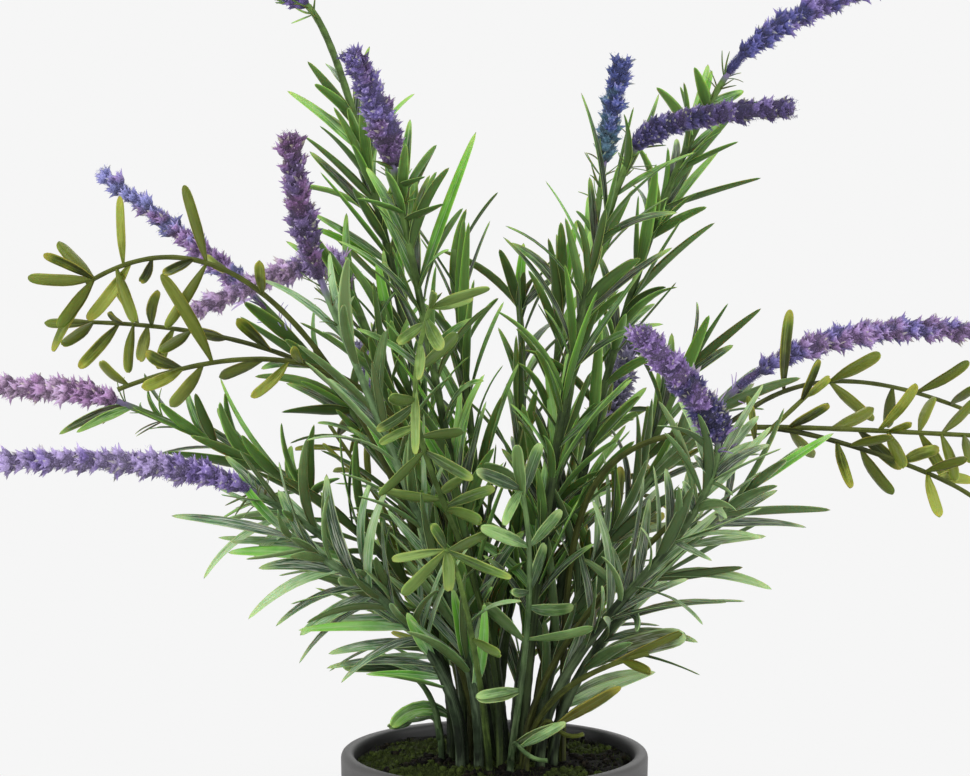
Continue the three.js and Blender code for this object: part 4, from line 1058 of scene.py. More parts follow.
class Nodes:
    """A material and short ways to add nodes to it. Each maker gives back an output socket."""

    def __init__(self, name):
        self.material = bpy.data.materials.new(name)
        self.material.use_nodes = True
        self.tree = self.material.node_tree
        self.shader = self.tree.nodes["Principled BSDF"]
        self.places = self.tree.nodes.new("ShaderNodeTexCoord").outputs["Object"]

    def add(self, kind, inputs=(), **settings):
        node = self.tree.nodes.new(kind)
        for key, value in settings.items():
            setattr(node, key, value)
        for key, value in dict(inputs).items():
            self.set(node.inputs[key], value)
        return node

    def set(self, socket, value):
        if isinstance(value, bpy.types.NodeSocket):
            self.tree.links.new(value, socket)
        else:
            socket.default_value = value

    def value(self, name):
        return self.add("ShaderNodeAttribute", attribute_name=name).outputs["Fac"]

    def math(self, operation, a, b=0.0):
        return self.add("ShaderNodeMath", {0: a, 1: b}, operation=operation).outputs[0]

    def times(self, a, b):
        return self.math("MULTIPLY", a, b)

    def total(self, value, *others):
        for other in others:
            value = self.math("ADD", value, other)
        return value

    def noise(self, per_mm, detail=3.0, roughness=0.55):
        inputs = {"Vector": self.places, "Scale": per_mm / MM, "Detail": detail, "Roughness": roughness}
        return self.add("ShaderNodeTexNoise", inputs).outputs["Fac"]

    def streaks(self, across, along):
        """Noise drawn out along a leaf or stem, finer across it the higher the first scale is."""
        x = self.math("MULTIPLY", self.value("across"), across)
        y = self.math("MULTIPLY", self.value("along"), along)
        z = self.math("MULTIPLY", self.value("tint"), STREAK_CHANGE)
        place = self.add("ShaderNodeCombineXYZ", {0: x, 1: y, 2: z}).outputs[0]
        inputs = {"Vector": place, "Scale": 1.0, "Detail": 2.0}
        return self.add("ShaderNodeTexNoise", inputs).outputs["Fac"]

    def step(self, value, low, high, to_low=0.0, to_high=1.0):
        inputs = {"Value": value, "From Min": low, "From Max": high}
        inputs.update({"To Min": to_low, "To Max": to_high})
        return self.add("ShaderNodeMapRange", inputs, interpolation_type="SMOOTHSTEP").outputs["Result"]

    def swung(self, value, span, swing):
        """A value from -swing to swing as the given one goes through its span."""
        return self.step(value, *span, -swing, swing)

    def ramp(self, value, *colours):
        node = self.add("ShaderNodeValToRGB", {"Fac": value})
        stops = node.color_ramp.elements
        while len(stops) < len(colours):
            stops.new(0.5)
        for i, colour in enumerate(colours):
            stops[i].position = i / (len(colours) - 1)
            stops[i].color = linear(colour)
        return node.outputs["Color"]

    def blend(self, share, under, over, mode="MIX"):
        node = self.add("ShaderNodeMix", data_type="RGBA", blend_type=mode)
        self.set(node.inputs[0], share)
        self.set(node.inputs[6], under)
        self.set(node.inputs[7], over)
        return node.outputs[2]

    def bump(self, height, strength, depth):
        inputs = {"Height": height, "Strength": strength, "Distance": depth * MM}
        self.set(self.shader.inputs["Normal"], self.add("ShaderNodeBump", inputs).outputs["Normal"])

    def finish(self, **inputs):
        for key, value in inputs.items():
            self.set(self.shader.inputs[key.replace("_", " ").title().replace("Ior", "IOR")], value)
        return self.material


def linear(code):
    """A colour written as six hex digits, as the shaders want it."""
    parts = [int(code[i : i + 2], 16) / 255 for i in (0, 2, 4)]
    return (*[c / 12.92 if c <= 0.04045 else ((c + 0.055) / 1.055) ** 2.4 for c in parts], 1.0)


def leaf_material(name):
    """A leaf's skin: its own tint, streaks along it, darker root and paler tip, painted fold shade on its
    halves, dust, pale rib, pale rims and tip with painted rim light, dull underside.
    """
    look = LEAF_LOOKS[name]
    nodes = Nodes(f"leaf_{name}")
    across = nodes.value("across")
    middle = nodes.math("ABSOLUTE", across)
    above = nodes.step(nodes.value("below"), 0.0, UNDERSIDE_START, 1.0, 0.0)
    shade = nodes.total(
        nodes.value("tint"),
        nodes.swung(nodes.noise(LEAF_CLOUD), NOISE_RANGE, LEAF_CLOUD_SWING),
        nodes.swung(nodes.streaks(*LEAF_STREAKS), STREAK_RANGE, LEAF_STREAK_SWING),
        nodes.step(nodes.value("along"), 0.0, 1.0, *LEAF_LENGTH_SHADES),
        # Painted shade of a fold: one half of the leaf lighter, the other darker.
        nodes.swung(across, (-FOLD_SHADE_SPAN, FOLD_SHADE_SPAN), PAINTED_FOLD_SHADE),
    )
    colour = nodes.ramp(shade, *look["shades"])
    edge = nodes.step(middle, 0.0, FRESH_EDGE, FRESH_MIDDLE, 1.0)
    colour = nodes.blend(nodes.times(nodes.value("fresh"), edge), colour, linear(FRESH_GREEN))
    colour = nodes.blend(nodes.value("aged"), colour, linear(AGED_BROWN))
    dusty = nodes.times(nodes.step(nodes.streaks(*DUST_STREAKS), *DUST_RANGE), above)
    dusty = nodes.times(dusty, nodes.step(nodes.value("fresh"), 0.0, DUST_FREE, 1.0, 0.0))
    colour = nodes.blend(nodes.times(dusty, look["dust"]), colour, linear(DUST))
    below = nodes.times(nodes.value("below"), UNDERSIDE_SHARE)
    colour = nodes.blend(below, colour, linear(look["under"]))
    rib = nodes.times(nodes.step(middle, *RIB_RANGE, 1.0, 0.0), look["rib"])
    colour = nodes.blend(nodes.times(rib, above), colour, linear(PALE_RIB))
    # Painted rim light on the upper side's rims and tip, over a pale margin of the leaf's own.
    tip = nodes.step(nodes.value("along"), TIP_START, 1.0)
    rim = nodes.times(nodes.math("MAXIMUM", nodes.step(middle, *MARGIN_AND_RIM_LIGHT_RANGE), tip), RIM_SHARE)
    colour = nodes.blend(nodes.times(rim, above), colour, linear(look["rim"]))
    stripes = nodes.math("SINE", nodes.times(across, LEAF_STRIPES))
    fine = nodes.noise(LEAF_GRAIN, detail=4.0)
    nodes.bump(nodes.total(nodes.times(stripes, LEAF_STRIPE_HEIGHT), fine), *LEAF_RELIEF)
    return nodes.finish(
        base_color=colour,
        roughness=nodes.step(fine, *NOISE_RANGE, *LEAF_ROUGHNESS),
        specular_ior_level=LEAF_GLOSS,
        subsurface_weight=LEAF_GLOW,
        subsurface_scale=LEAF_GLOW_DEPTH,
    )


def stem_material(name):
    """A stem's skin: dark by the soil, green above, ridged, and dyed under a flower spike."""
    look = STEM_LOOKS[name]
    nodes = Nodes(f"stem_{name}")
    cloud = nodes.swung(nodes.noise(STEM_CLOUD), NOISE_RANGE, STEM_CLOUD_SWING)
    colour = nodes.ramp(nodes.total(nodes.value("along"), cloud), *look["shades"])
    colour = nodes.blend(nodes.value("fresh"), colour, linear(STEM_DYE))
    ridges = nodes.math("SINE", nodes.times(nodes.value("across"), STEM_RIDGES))
    fine = nodes.noise(STEM_GRAIN, detail=5.0)
    streaks = nodes.step(nodes.streaks(*STEM_STREAKS), *STEM_STREAK_RANGE, 0.0, STEM_STREAK_SHARE)
    colour = nodes.blend(streaks, colour, linear(look["light"]))
    nodes.bump(nodes.total(nodes.times(ridges, STEM_RIDGE_HEIGHT), fine), *STEM_RELIEF)
    return nodes.finish(
        base_color=colour,
        roughness=nodes.step(fine, *NOISE_RANGE, *STEM_ROUGHNESS),
        specular_ior_level=STEM_GLOSS,
    )


def shade_of(code, step):
    """A colour's darker shade for a step below 0, its paler one for a step above 0."""
    own, pale = [[int(text[i : i + 2], 16) for i in (0, 2, 4)] for text in (code, PALE_FLOCK)]
    parts = [a * (1 + step) if step < 0 else mix(a, b, step) for a, b in zip(own, pale)]
    return "".join(f"{round(part):02x}" for part in parts)


def bloom_material(name):
    """Flock: deep inside, pale at the ends of its pile, with a few yellow-green specks."""
    look = SPIKE_LOOKS[name]
    nodes = Nodes(f"bloom_{name}")
    grain = nodes.noise(BLOOM_GRAIN, detail=4.0, roughness=0.7)
    depth = nodes.total(nodes.value("tint"), nodes.swung(grain, NOISE_RANGE, BLOOM_GRAIN_SWING))
    foot = nodes.ramp(depth, *[shade_of(look["foot"], step) for step in FLOCK_SHADES])
    end = nodes.ramp(depth, *[shade_of(look["end"], step) for step in FLOCK_SHADES])
    cloud = nodes.swung(nodes.noise(BLOOM_CLOUD), NOISE_RANGE, BLOOM_CLOUD_SWING)
    colour = nodes.blend(nodes.step(nodes.total(nodes.value("along"), cloud), *BLOOM_CHANGE), foot, end)
    colour = nodes.blend(nodes.value("fresh"), colour, linear(BLOOM_SPECK))
    nodes.bump(grain, *BLOOM_RELIEF)
    return nodes.finish(
        base_color=colour,
        roughness=BLOOM_ROUGHNESS,
        sheen_weight=BLOOM_SHEEN_SHARE,
        sheen_roughness=BLOOM_SHEEN_ROUGHNESS,
        sheen_tint=linear(BLOOM_SHEEN),
    )


def soil_material():
    """Dark damp crumbs that turn to moss where the point value says."""
    nodes = Nodes("soil")
    grain = nodes.noise(SOIL_GRAIN, detail=5.0, roughness=0.7)
    depth = nodes.total(nodes.value("tint"), nodes.swung(grain, NOISE_RANGE, SOIL_GRAIN_SWING))
    earth = nodes.ramp(depth, *EARTH_SHADES)
    colour = nodes.blend(nodes.value("moss"), earth, nodes.ramp(grain, *MOSS_SHADES))
    nodes.bump(grain, *SOIL_RELIEF)
    return nodes.finish(
        base_color=colour, roughness=SOIL_ROUGHNESS, specular_ior_level=SOIL_GLOSS
    )


def pot_material():
    """Moulded matt charcoal with a fine grain, a little paler on the lip's roll."""
    nodes = Nodes("pot")
    grain = nodes.noise(POT_GRAIN, detail=2.0)
    colour = nodes.ramp(nodes.noise(POT_CLOUD, detail=2.0), *POT_SHADES)
    colour = nodes.blend(nodes.times(nodes.value("rim"), POT_RIM_SHARE), colour, linear(POT_RIM))
    nodes.bump(grain, *POT_RELIEF)
    return nodes.finish(
        base_color=colour, roughness=nodes.step(grain, *NOISE_RANGE, *POT_ROUGHNESS)
    )


# Which of the frame's blades are there, and where the fine leaves go.


def node_tree(name):
    """The corners of a frame node, in millimetres, as a tree to look places up in."""
    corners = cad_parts[name].data.vertices
    tree = kdtree.KDTree(len(corners))
    for i, corner in enumerate(corners):
        tree.insert(corner.co / MM, i)
    tree.balance()
    return tree


def end_point(blade, kind):
    """A corner at the end of the blade's solid in the frame: its point, or one side of its end."""
    at, wide, _ = blade.stations([1])
    half_end = 0.5 * kind.width * blade.size * SPRIG_END_SHARE
    return at[0] + wide[0] * (half_end if kind is SPRIG_BLADE else 0)


def blade_tries(kind, stretch, index):
    """The places where the frame tries to put a blade, in its order."""
    shoot, key, leaves = stretch["shoot"], stretch["key"], stretch.get("leaves")
    if leaves:
        return (AimedBlade(kind, shoot, key, index, n, leaves[index]) for n in range(TRIES))
    shift = PAIR_SHIFT * swing(key, index, DRAW_SHIFT)
    share = (index // 2 + 0.5 + shift) / stretch["pairs"]
    t = mix(stretch["end"], stretch["start"], share)
    return (Blade(kind, shoot, key, index, n, t) for n in range(TRIES))


# The front, how far leaves with places of their own face it, and how much more than the frame's
# they twist.
FRONT = np.array((0.0, -1.0, 0.0))
FACING = {LAVENDER_BLADE: 0.3, SPRIG_BLADE: 0.6}
TWISTING = {LAVENDER_BLADE: 1.5, SPRIG_BLADE: 2.4}


def front_roll(blade):
    """The roll that turns a blade's upper side to the front."""
    _, wide, upper = blade.stations([0.5])
    return math.atan2(-(wide[0] @ FRONT), upper[0] @ FRONT)


def turn_to_front(blade, share):
    """Rolls a blade a share of the way to where its nearer side faces the front."""
    quarter = math.pi / 2
    blade.roll += share * ((front_roll(blade) + quarter) % math.pi - quarter)


def framed_blades(kind, stretch, corners):
    """The blades of a stretch that the frame's solid has, each by the try that it was placed with."""
    found = []
    for index in range(len(stretch.get("leaves", ())) or 2 * stretch["pairs"]):
        for blade in blade_tries(kind, stretch, index):
            if corners.find(end_point(blade, kind))[2] < SAME_POINT:
                if index in stretch.get("fresh", ()):
                    blade.fresh = 0.0
                if stretch.get("leaves"):
                    blade.twist *= TWISTING[kind]
                    turn_to_front(blade, FACING[kind])
                    blade.aged = stretch.get("aged", 0.0)
                found.append(blade)
                break
    return found


class Room:
    """Points of what is there already, each with its owner, to keep new leaves clear of."""

    def __init__(self):
        self.points = []
        self.owners = []
        self.tree = None

    def put(self, points, owner):
        self.points.extend(points)
        self.owners.extend([owner] * len(points))

    def settle(self):
        self.tree = kdtree.KDTree(len(self.points))
        for i, point in enumerate(self.points):
            self.tree.insert(point, i)
        self.tree.balance()

    def is_clear(self, points, owner):
        for point in points:
            for _, i, distance in self.tree.find_range(point, CLEARANCE):
                if self.owners[i] != owner or distance < OWN_CLEARANCE:
                    return False
        return True


FILL_KINDS = {LAVENDER_BLADE: FILL_BLADE, SPRIG_BLADE: SPRIG_FILL_BLADE}


def samples(blade, shares=TRIED_SHARES):
    return blade.stations(shares)[0]


def clears_pot(points):
    inside = np.hypot(points[:, 0], points[:, 1]) < SOIL_REACH
    return bool(np.all(points[:, 2] > np.where(inside, LOWEST_OVER_SOIL, LOWEST_OVER_LIP)))


def fill_count(stretch):
    """How many pairs of leaves are tried between those of the frame on a leafy stretch."""
    if "pairs" not in stretch:
        return 0
    return math.ceil((stretch["end"] - stretch["start"]) * stretch["shoot"].length() / FILL_PITCH)


def fill_blades(kind, stretch, room, owner, step, count):
    """The leaves that grow between those of the frame, in one round of the placing."""
    found = []
    for index in (2 * step, 2 * step + 1):
        shift = PAIR_SHIFT * swing(stretch["key"], FILL_INDEX + index, DRAW_SHIFT)
        t = mix(stretch["end"], max(stretch["start"], FILL_START), (step + 0.5 + shift) / count)
        for attempt in range(FILL_TRIES):
            blade = Blade(kind, stretch["shoot"], stretch["key"], FILL_INDEX + index, attempt, t)
            points = samples(blade)
            if clears_pot(points) and room.is_clear(points, owner):
                found.append(blade)
                break
    return found


# The fine shape of each kind of leaf. A section runs round the leaf from one edge over its upper
# side, as the share of its half width, the height in millimetres and how far it is the underside.

LAVENDER_SECTION = np.array([
    (1, 0.1, 0), (0.8, 0.24, 0), (0.3, 0.1, 0), (0, -0.04, 0), (-0.3, 0.1, 0), (-0.8, 0.24, 0),
    (-1, 0.1, 0), (-0.6, -0.22, 1), (0, -0.5, 1), (0.6, -0.22, 1),
])
LAVENDER_STATIONS = np.array((0.02, 0.07, 0.14, 0.24, 0.36, 0.48, 0.6, 0.72, 0.82, 0.9, 0.96))
SPRIG_SECTION = np.array([
    (1, 0.05, 0), (0.84, 0.55, 0), (0.5, 0.38, 0), (0, 0.02, 0), (-0.5, 0.38, 0), (-0.84, 0.55, 0),
    (-1, 0.05, 0), (-0.6, -0.6, 1), (0, -1.0, 1), (0.6, -0.6, 1),
])
SPRIG_STATIONS = np.array((0.02, 0.1, 0.2, 0.32, 0.46, 0.6, 0.74, 0.84, 0.91, 0.96, 0.99))
FOLDS = (0.0, 0.75)


def lavender_profile(u):
    """A leaf's half width along it: soon full, and then drawn to a point."""
    opened = np.minimum(1, LAVENDER_FOOT + LAVENDER_OPENING * u)
    return opened * np.sqrt(1 - u**LAVENDER_BLUNTNESS)


def sprig_profile(u):
    """The same for a fleshy leaf, whose foot is slender and whose end is round."""
    opened = np.minimum(SPRIG_FOOT + SPRIG_OPENING * u**SPRIG_SOFTNESS, math.pi / 2)
    return np.sin(opened) * np.sqrt(1 - u**SPRIG_BLUNTNESS)


class LeafShape:
    """The fine shape that the leaves of one kind share."""

    def __init__(self, section, stations, profile, thickness, fold, fresh_share=0.0):
        self.section = section
        self.stations = stations
        self.profile = profile
        self.thickness = thickness
        self.fold = fold
        self.fresh_share = fresh_share


LEAF_SHAPES = {
    LAVENDER_BLADE: LeafShape(
        LAVENDER_SECTION, LAVENDER_STATIONS, lavender_profile, 1.0, FOLDS, FRESH_SHARE),
    FILL_BLADE: LeafShape(
        LAVENDER_SECTION, LAVENDER_STATIONS, lavender_profile, 0.9, FOLDS, FRESH_SHARE),
    BRACT_BLADE: LeafShape(LAVENDER_SECTION, LAVENDER_STATIONS, lavender_profile, 0.5, (0.0, 0.2)),
    SPRIG_BLADE: LeafShape(SPRIG_SECTION, SPRIG_STATIONS, sprig_profile, 1.0, (-0.1, 0.5)),
    SPRIG_FILL_BLADE: LeafShape(SPRIG_SECTION, SPRIG_STATIONS, sprig_profile, 0.9, (-0.1, 0.5)),
}


def added_leaf(row, shoot, number):
    """A leaf of the added ones, as kind and blade."""
    kind = Kind(
        lengths=(1, 1), spread=0, width=row["width"], fine_width=row["width"], lean=(0, 0),
        closing=0, curl=(row["curl"], row["curl"]), roll=(row["roll"], row["roll"]),
        twist=ADDED_TWIST, sway=0,
    )
    fold = row.get("fold", SPOON_FOLD)
    spoon = LeafShape(SPRIG_SECTION, SPRIG_STATIONS, sprig_profile, 1.0, (fold, fold))
    LEAF_SHAPES[kind] = spoon if row.get("spoon") else LEAF_SHAPES[LAVENDER_BLADE]
    blade = AimedBlade(kind, shoot, ADDED_KEY, 2 * number + 1, 0, (row["t"], *row["tip"]))
    blade.roll += front_roll(blade)
    blade.fresh = 0.0 if row.get("fresh") else 1.0
    blade.aged = row.get("aged", 0.0)
    return kind, blade


def add_leaf(skin, kind, blade, wideness=1.0):
    """One fine leaf, whose root moves from the straight step of the frame onto the curved stem."""
    shape = LEAF_SHAPES[kind]
    u = shape.stations
    at, wide, upper = blade.stations(u)
    at = at + (blade.on_curve - blade.root) * ((1 - u) ** 2)[:, None]
    profile = shape.profile(u)
    own = round(1000 * blade.tint)
    wideness *= mix(*WIDTHS, draw(own, DRAW_LENGTH))
    half = 0.5 * kind.fine_width * wideness * blade.size * profile
    x, height, below = shape.section.T
    fold = mix(*shape.fold, draw(own, DRAW_FRESH))
    lifted = shape.thickness * mix(THIN_END, 1, profile)[:, None] * height
    lifted = lifted + (fold * profile)[:, None] * (x * x - FOLD_LEVEL)
    rings = at[:, None] + wide[:, None] * (half[:, None] * x)[..., None]
    rings = rings + upper[:, None] * lifted[..., None]
    if blade.fresh < shape.fresh_share:
        fresh = FRESHEST * smooth(*FRESH_SPAN, u)
    else:
        fresh = BRIGHT_TIP * blade.fresh * smooth(*BRIGHT_TIP_SPAN, u)
    values = {
        "across": x,
        "along": u[:, None],
        "tint": mix(*TINTS, blade.tint),
        "fresh": fresh[:, None],
        "below": below,
        "aged": blade.aged,
    }
    skin.tube(rings, values, 0, head=blade.on_curve, tail=blade.stations([1])[0][0])


def add_stem(skin, shoot, radii, slimness, planted, dyed):
    """A fine stem: nearly square, swollen where leaves leave it, from inside its hole to its tip."""
    length = shoot.length()
    t = np.linspace(0, 1, math.ceil(length / STEM_RING_GAP) + 1)
    at, _, u, v = shoot.frame(t)
    height = t
    if planted:
        at = np.concatenate([[at[0] - UP * HOLE_DEPTH * STEM_FOOT_SHARE], at])
        u = np.concatenate([u[:1], u])
        v = np.concatenate([v[:1], v])
        height = np.concatenate([[0], t])
    angle = turns(STEM_SIDES, 0.5)
    square = 1 - STEM_SQUARENESS * np.cos(4 * angle + math.pi)
    wave = 0.5 + 0.5 * np.cos(height * length * 2 * math.pi / NODE_PITCH)
    swollen = 1 + NODE_SWELL * wave**NODE_SHARPNESS
    radius = slimness * (mix(*radii, height) * swollen)[:, None] * square
    rings = at[:, None] + ring_of(u[:, None], v[:, None], angle) * radius[..., None]
    dye = smooth(length - DYE_START, length - DYE_END, height * length) if dyed else 0 * height
    values = {"across": angle / math.pi, "along": height[:, None], "tint": 0.5, "fresh": dye[:, None]}
    skin.tube(rings, values, 1)


LEAF_VALUES = ("across", "along", "tint", "fresh", "below", "aged")


def add_bracts(skin, shoot, key):
    """The slender forked bracts just under a flower spike."""
    for index in range(2 * BRACT_PAIRS):
        t = mix(BRACT_START, 1, (index // 2 + 0.5) / BRACT_PAIRS)
        for prong in range(PRONGS):
            add_leaf(skin, BRACT_BLADE, Blade(BRACT_BLADE, shoot, key, BRACT_INDEX + index, prong, t))


def lavender_plant(i, row):
    shoot = main_shoot(row)
    stretches = [dict(row, shoot=shoot, key=LAVENDER_KEY + i)]
    if row["name"] in OUTER_LEAVES:
        stretches.append(dict(shoot=shoot, key=OUTER_KEY + i, leaves=OUTER_LEAVES[row["name"]],
                              fresh=FRESH_LEAVES.get(row["name"], ())))
    return dict(row=row, name=f"lavender_stem_{row['name']}", kind=LAVENDER_BLADE, stretches=stretches,
                shoots=[shoot], spike=spike_line(row, shoot) if "spike" in row else None)


def sprig_plant(i, row):
    main = main_shoot(row)
    stretches = [dict(row, shoot=main, key=SPRIG_KEY + i, end=1)]
    for j, branch in enumerate(row["branches"]):
        key = BRANCH_KEY + KEYS_PER_SPRIG * i + j
        stretches.append(dict(branch, shoot=branch_shoot(main, branch), key=key))
    shoots = [stretch["shoot"] for stretch in stretches]
    return dict(row=row, name=f"sprig_{row['name']}", kind=SPRIG_BLADE, stretches=stretches, shoots=shoots,
                spike=None)


plants = [lavender_plant(i, row) for i, row in enumerate(LAVENDER)]
plants += [sprig_plant(i, row) for i, row in enumerate(SPRIGS)]


def ringed_points(line, radius):
    """Points round a line, to stand for a flower spike in the room."""
    at, _, u, v = line.frame(np.linspace(0, 1, SPIKE_SAMPLES))
    rings = at[:, None] + radius * ring_of(u[:, None], v[:, None], turns(SPIKE_SAMPLE_SIDES))
    return rings.reshape(-1, 3)


def leaves_of_frame(plant):
    """The leaves of a plant that its solid has, and those added low down, as kind and blade."""
    name, kind = plant["name"], plant["kind"]
    corners = node_tree(name)
    found = []
    for stretch in plant["stretches"]:
        found += [(kind, blade) for blade in framed_blades(kind, stretch, corners)]
    for number, row in enumerate(ADDED_LEAVES):
        if row["on"] == name:
            found.append(added_leaf(row, plant["shoots"][0], number))
    return found


def take_room(room, plant, found):
    """Marks where a plant's stems, leaves and flower spike are."""
    name = plant["name"]
    for shoot in plant["shoots"]:
        count = math.ceil(shoot.length() / STEM_SAMPLE_STEP)
        room.put(shoot.at(np.linspace(0, 1, count)), name + " stem")
    for _, blade in found:
        room.put(samples(blade, TAKEN_SHARES), name)
    if plant["spike"]:
        rings = ringed_points(plant["spike"], SPIKE_SAMPLE_GIRTH * plant["row"]["girth"])
        room.put(rings, name + " spike")


def place_leaves():
    """All leaves of each plant, as kind and blade, by the plant's name."""
    leaves = {}
    room = Room()
    for plant in plants:
        leaves[plant["name"]] = leaves_of_frame(plant)
        take_room(room, plant, leaves[plant["name"]])
    counts = [fill_count(plant["stretches"][0]) for plant in plants]
    for step in range(max(counts)):
        room.settle()
        for plant, count in zip(plants, counts):
            if step >= count:
                continue
            name, kind = plant["name"], FILL_KINDS[plant["kind"]]
            new = fill_blades(kind, plant["stretches"][0], room, name, step, count)
            for blade in new:
                room.put(samples(blade, TAKEN_SHARES), name)
            leaves[name] += [(kind, blade) for blade in new]
    return leaves


# Flower spikes.


def spike_swell(row, u):
    """The radius of a spike at the share u of its length, as a share of its girth."""
    bare = row.get("bare", 0)
    past_shoulder = np.maximum(0, u - SWELL_SHOULDER) / (1 - SWELL_SHOULDER)
    tapered = 1 - row.get("taper", SWELL_TAPER) * past_shoulder
    return mix(BARE_SHARE, 1, smooth(bare, bare + SWELL_SPAN, u)) * tapered


def add_floret(skin, foot, tip, place, fullness, rng):
    """One floret: a swollen tube whose mouth opens in pointed lobes."""
    axis = tip - foot
    length = np.linalg.norm(axis)
    ahead = axis / length
    side = unit(np.cross(ahead, UP + FLORET_TILT * rng.standard_normal(3)))
    other = np.cross(ahead, side)
    turn = rng.uniform(0, 2 * math.pi)
    ring = ring_of(side, other, turn + turns(CALYX_SIDES))
    rings = np.array([
        foot + axis * share * CALYX_SHARE + ring * radius * fullness * length
        for share, radius in CALYX_RINGS
    ])
    tint = rng.uniform(*FLORET_TINTS)
    shares = np.array(CALYX_RINGS)[:, :1]
    skin.tube(rings, {"tint": tint - CALYX_DEEPER + CALYX_MOUTH_PALER * shares, "along": place}, 0)
    spread = ring_of(side, other, turn + turns(LOBES))
    mouth = foot + axis * CALYX_SHARE
    bases = mouth + (spread * LOBE_RADIUS * fullness - ahead * LOBE_SINK) * length
    ends = ahead * length * rng.uniform(*LOBE_LENGTHS, (LOBES, 1))
    ends = ends + spread * length * rng.uniform(*LOBE_SPREADS, (LOBES, 1))
    specks = np.where(rng.uniform(0, 1, LOBES) < SPECK_SHARE, SPECK_STRENGTH, 0.0)
    foot_tints = np.full(LOBES, tint - LOBE_FOOT_DEEPER)
    end_tints = tint + rng.uniform(*LOBE_END_PALER, LOBES)
    values = {
        "tint": np.stack([foot_tints, end_tints], axis=-1),
        "fresh": np.stack([0 * specks, specks], axis=-1),
        "along": np.full(LOBES, place),
    }
    skin.spikes(bases, ends, np.full(LOBES, LOBE_WIDTH * fullness * length), values)
    return foot, axis, ring, fullness, place


def add_pile(skin, florets, rng):
    """The short flock fibres that stand all over the florets."""
    count = PILE_PER_FLORET
    for foot, axis, ring, fullness, place in florets:
        length = np.linalg.norm(axis)
        around = ring[rng.integers(0, len(ring), count)]
        share = rng.uniform(PILE_START, 1.0, (count, 1))
        wide = np.interp(share, *PILE_GIRTHS) * length * fullness
        bases = foot + axis * share * PILE_SPAN + around * wide * PILE_SINK
        lengths = rng.uniform(*PILE_LENGTHS, (count, 1))
        strays = PILE_DISORDER * rng.standard_normal((count, 3))
        leans = around + PILE_FORWARD * axis / length + strays
        tints = mix(PILE_TINT[0], sum(PILE_TINT), share[:, 0]) + rng.uniform(*PILE_TINT_SWING, count)
        values = {"tint": np.clip(tints, 0, 1), "along": np.full(count, place)}
        skin.spikes(bases, unit(leans) * lengths, np.full(count, PILE_WIDTH), values)


def add_core_pile(skin, row, line, core_share, rng):
    """The same fibres on the core between the florets, and on a spike's slender foot."""
    count = round(CORE_PILE_PER_MM * line.length())
    t = rng.uniform(0, 1, count)
    at, along, u, v = line.frame(t)
    angle = rng.uniform(0, 2 * math.pi, (count, 1))
    around = u * np.cos(angle) + v * np.sin(angle)
    radius = core_share * row["girth"] * spike_swell(row, t)
    bases = at + around * CORE_PILE_SINK * radius[:, None]
    strays = PILE_DISORDER * rng.standard_normal((count, 3))
    leans = unit(around + CORE_PILE_FORWARD * along + strays)
    axes = leans * rng.uniform(*CORE_PILE_LENGTHS, (count, 1))
    values = {"tint": rng.uniform(*CORE_PILE_TINTS, count), "along": t}
    skin.spikes(bases, axes, np.full(count, PILE_WIDTH), values)


def add_core(skin, row, line, style, whorls):
    """The core that the florets stand on, with a waist between each two whorls."""
    t = np.linspace(0, CORE_END, CORE_RINGS_PER_WHORL * whorls)
    at, _, u, v = line.frame(t)
    radius = style.core * row["girth"] * spike_swell(row, t)
    radius *= 1 - CORE_WAIST * (0.5 + 0.5 * np.cos(2 * math.pi * t * whorls))
    around = ring_of(u[:, None], v[:, None], turns(CORE_SIDES))
    rings = at[:, None] + around * radius[:, None, None]
    skin.tube(rings, {"tint": CORE_TINT, "along": t[:, None]}, 0)


def add_whorls(skin, row, line, style, whorls, pitch, rng):
    """The rows of florets all along a spike, and where their pile goes."""
    florets = []
    for whorl in range(whorls):
        for number, (place, share) in enumerate(style.rows):
            middle = (whorl + place) / whorls
            if middle < BARE_FREE * row.get("bare", 0):
                continue
            turned = 0.5 * (number + len(style.rows) * whorl)
            for k in range(style.count):
                here = middle + style.unevenness * rng.standard_normal() / whorls
                here = min(1, max(0, here))
                at, along, u, v = line.frame(here)
                swell = mix(spike_swell(row, here), 1, FLORET_EVENNESS)
                reach = row["girth"] * swell * share * (1 - style.unevenness * rng.uniform(0, 2))
                step = k + turned + FLORET_TURN_SWING * rng.standard_normal()
                angle = step * (2 * math.pi / style.count)
                out = u * math.cos(angle) + v * math.sin(angle)
                foot = at + out * reach * style.foot - along * FLORET_SINK * pitch
                tip = at + out * reach * rng.uniform(*FLORET_REACHES)
                tip = tip + along * pitch * rng.uniform(*FLORET_ADVANCES)
                florets.append(add_floret(skin, foot, tip, here, style.fullness, rng))
    return florets


def add_tuft(skin, row, line, style, rng):
    """The florets that close a spike at its tip."""
    end, along, u, v = line.frame(1.0)
    florets = []
    for angle in turns(TUFT_FLORETS):
        out = u * math.cos(angle) + v * math.sin(angle)
        foot = end - along * TUFT_LENGTH
        tip = end + out * (TUFT_REACH * row["girth"]) - along * TUFT_SHORTNESS
        florets.append(add_floret(skin, foot, tip, 1.0, style.fullness, rng))
    return florets


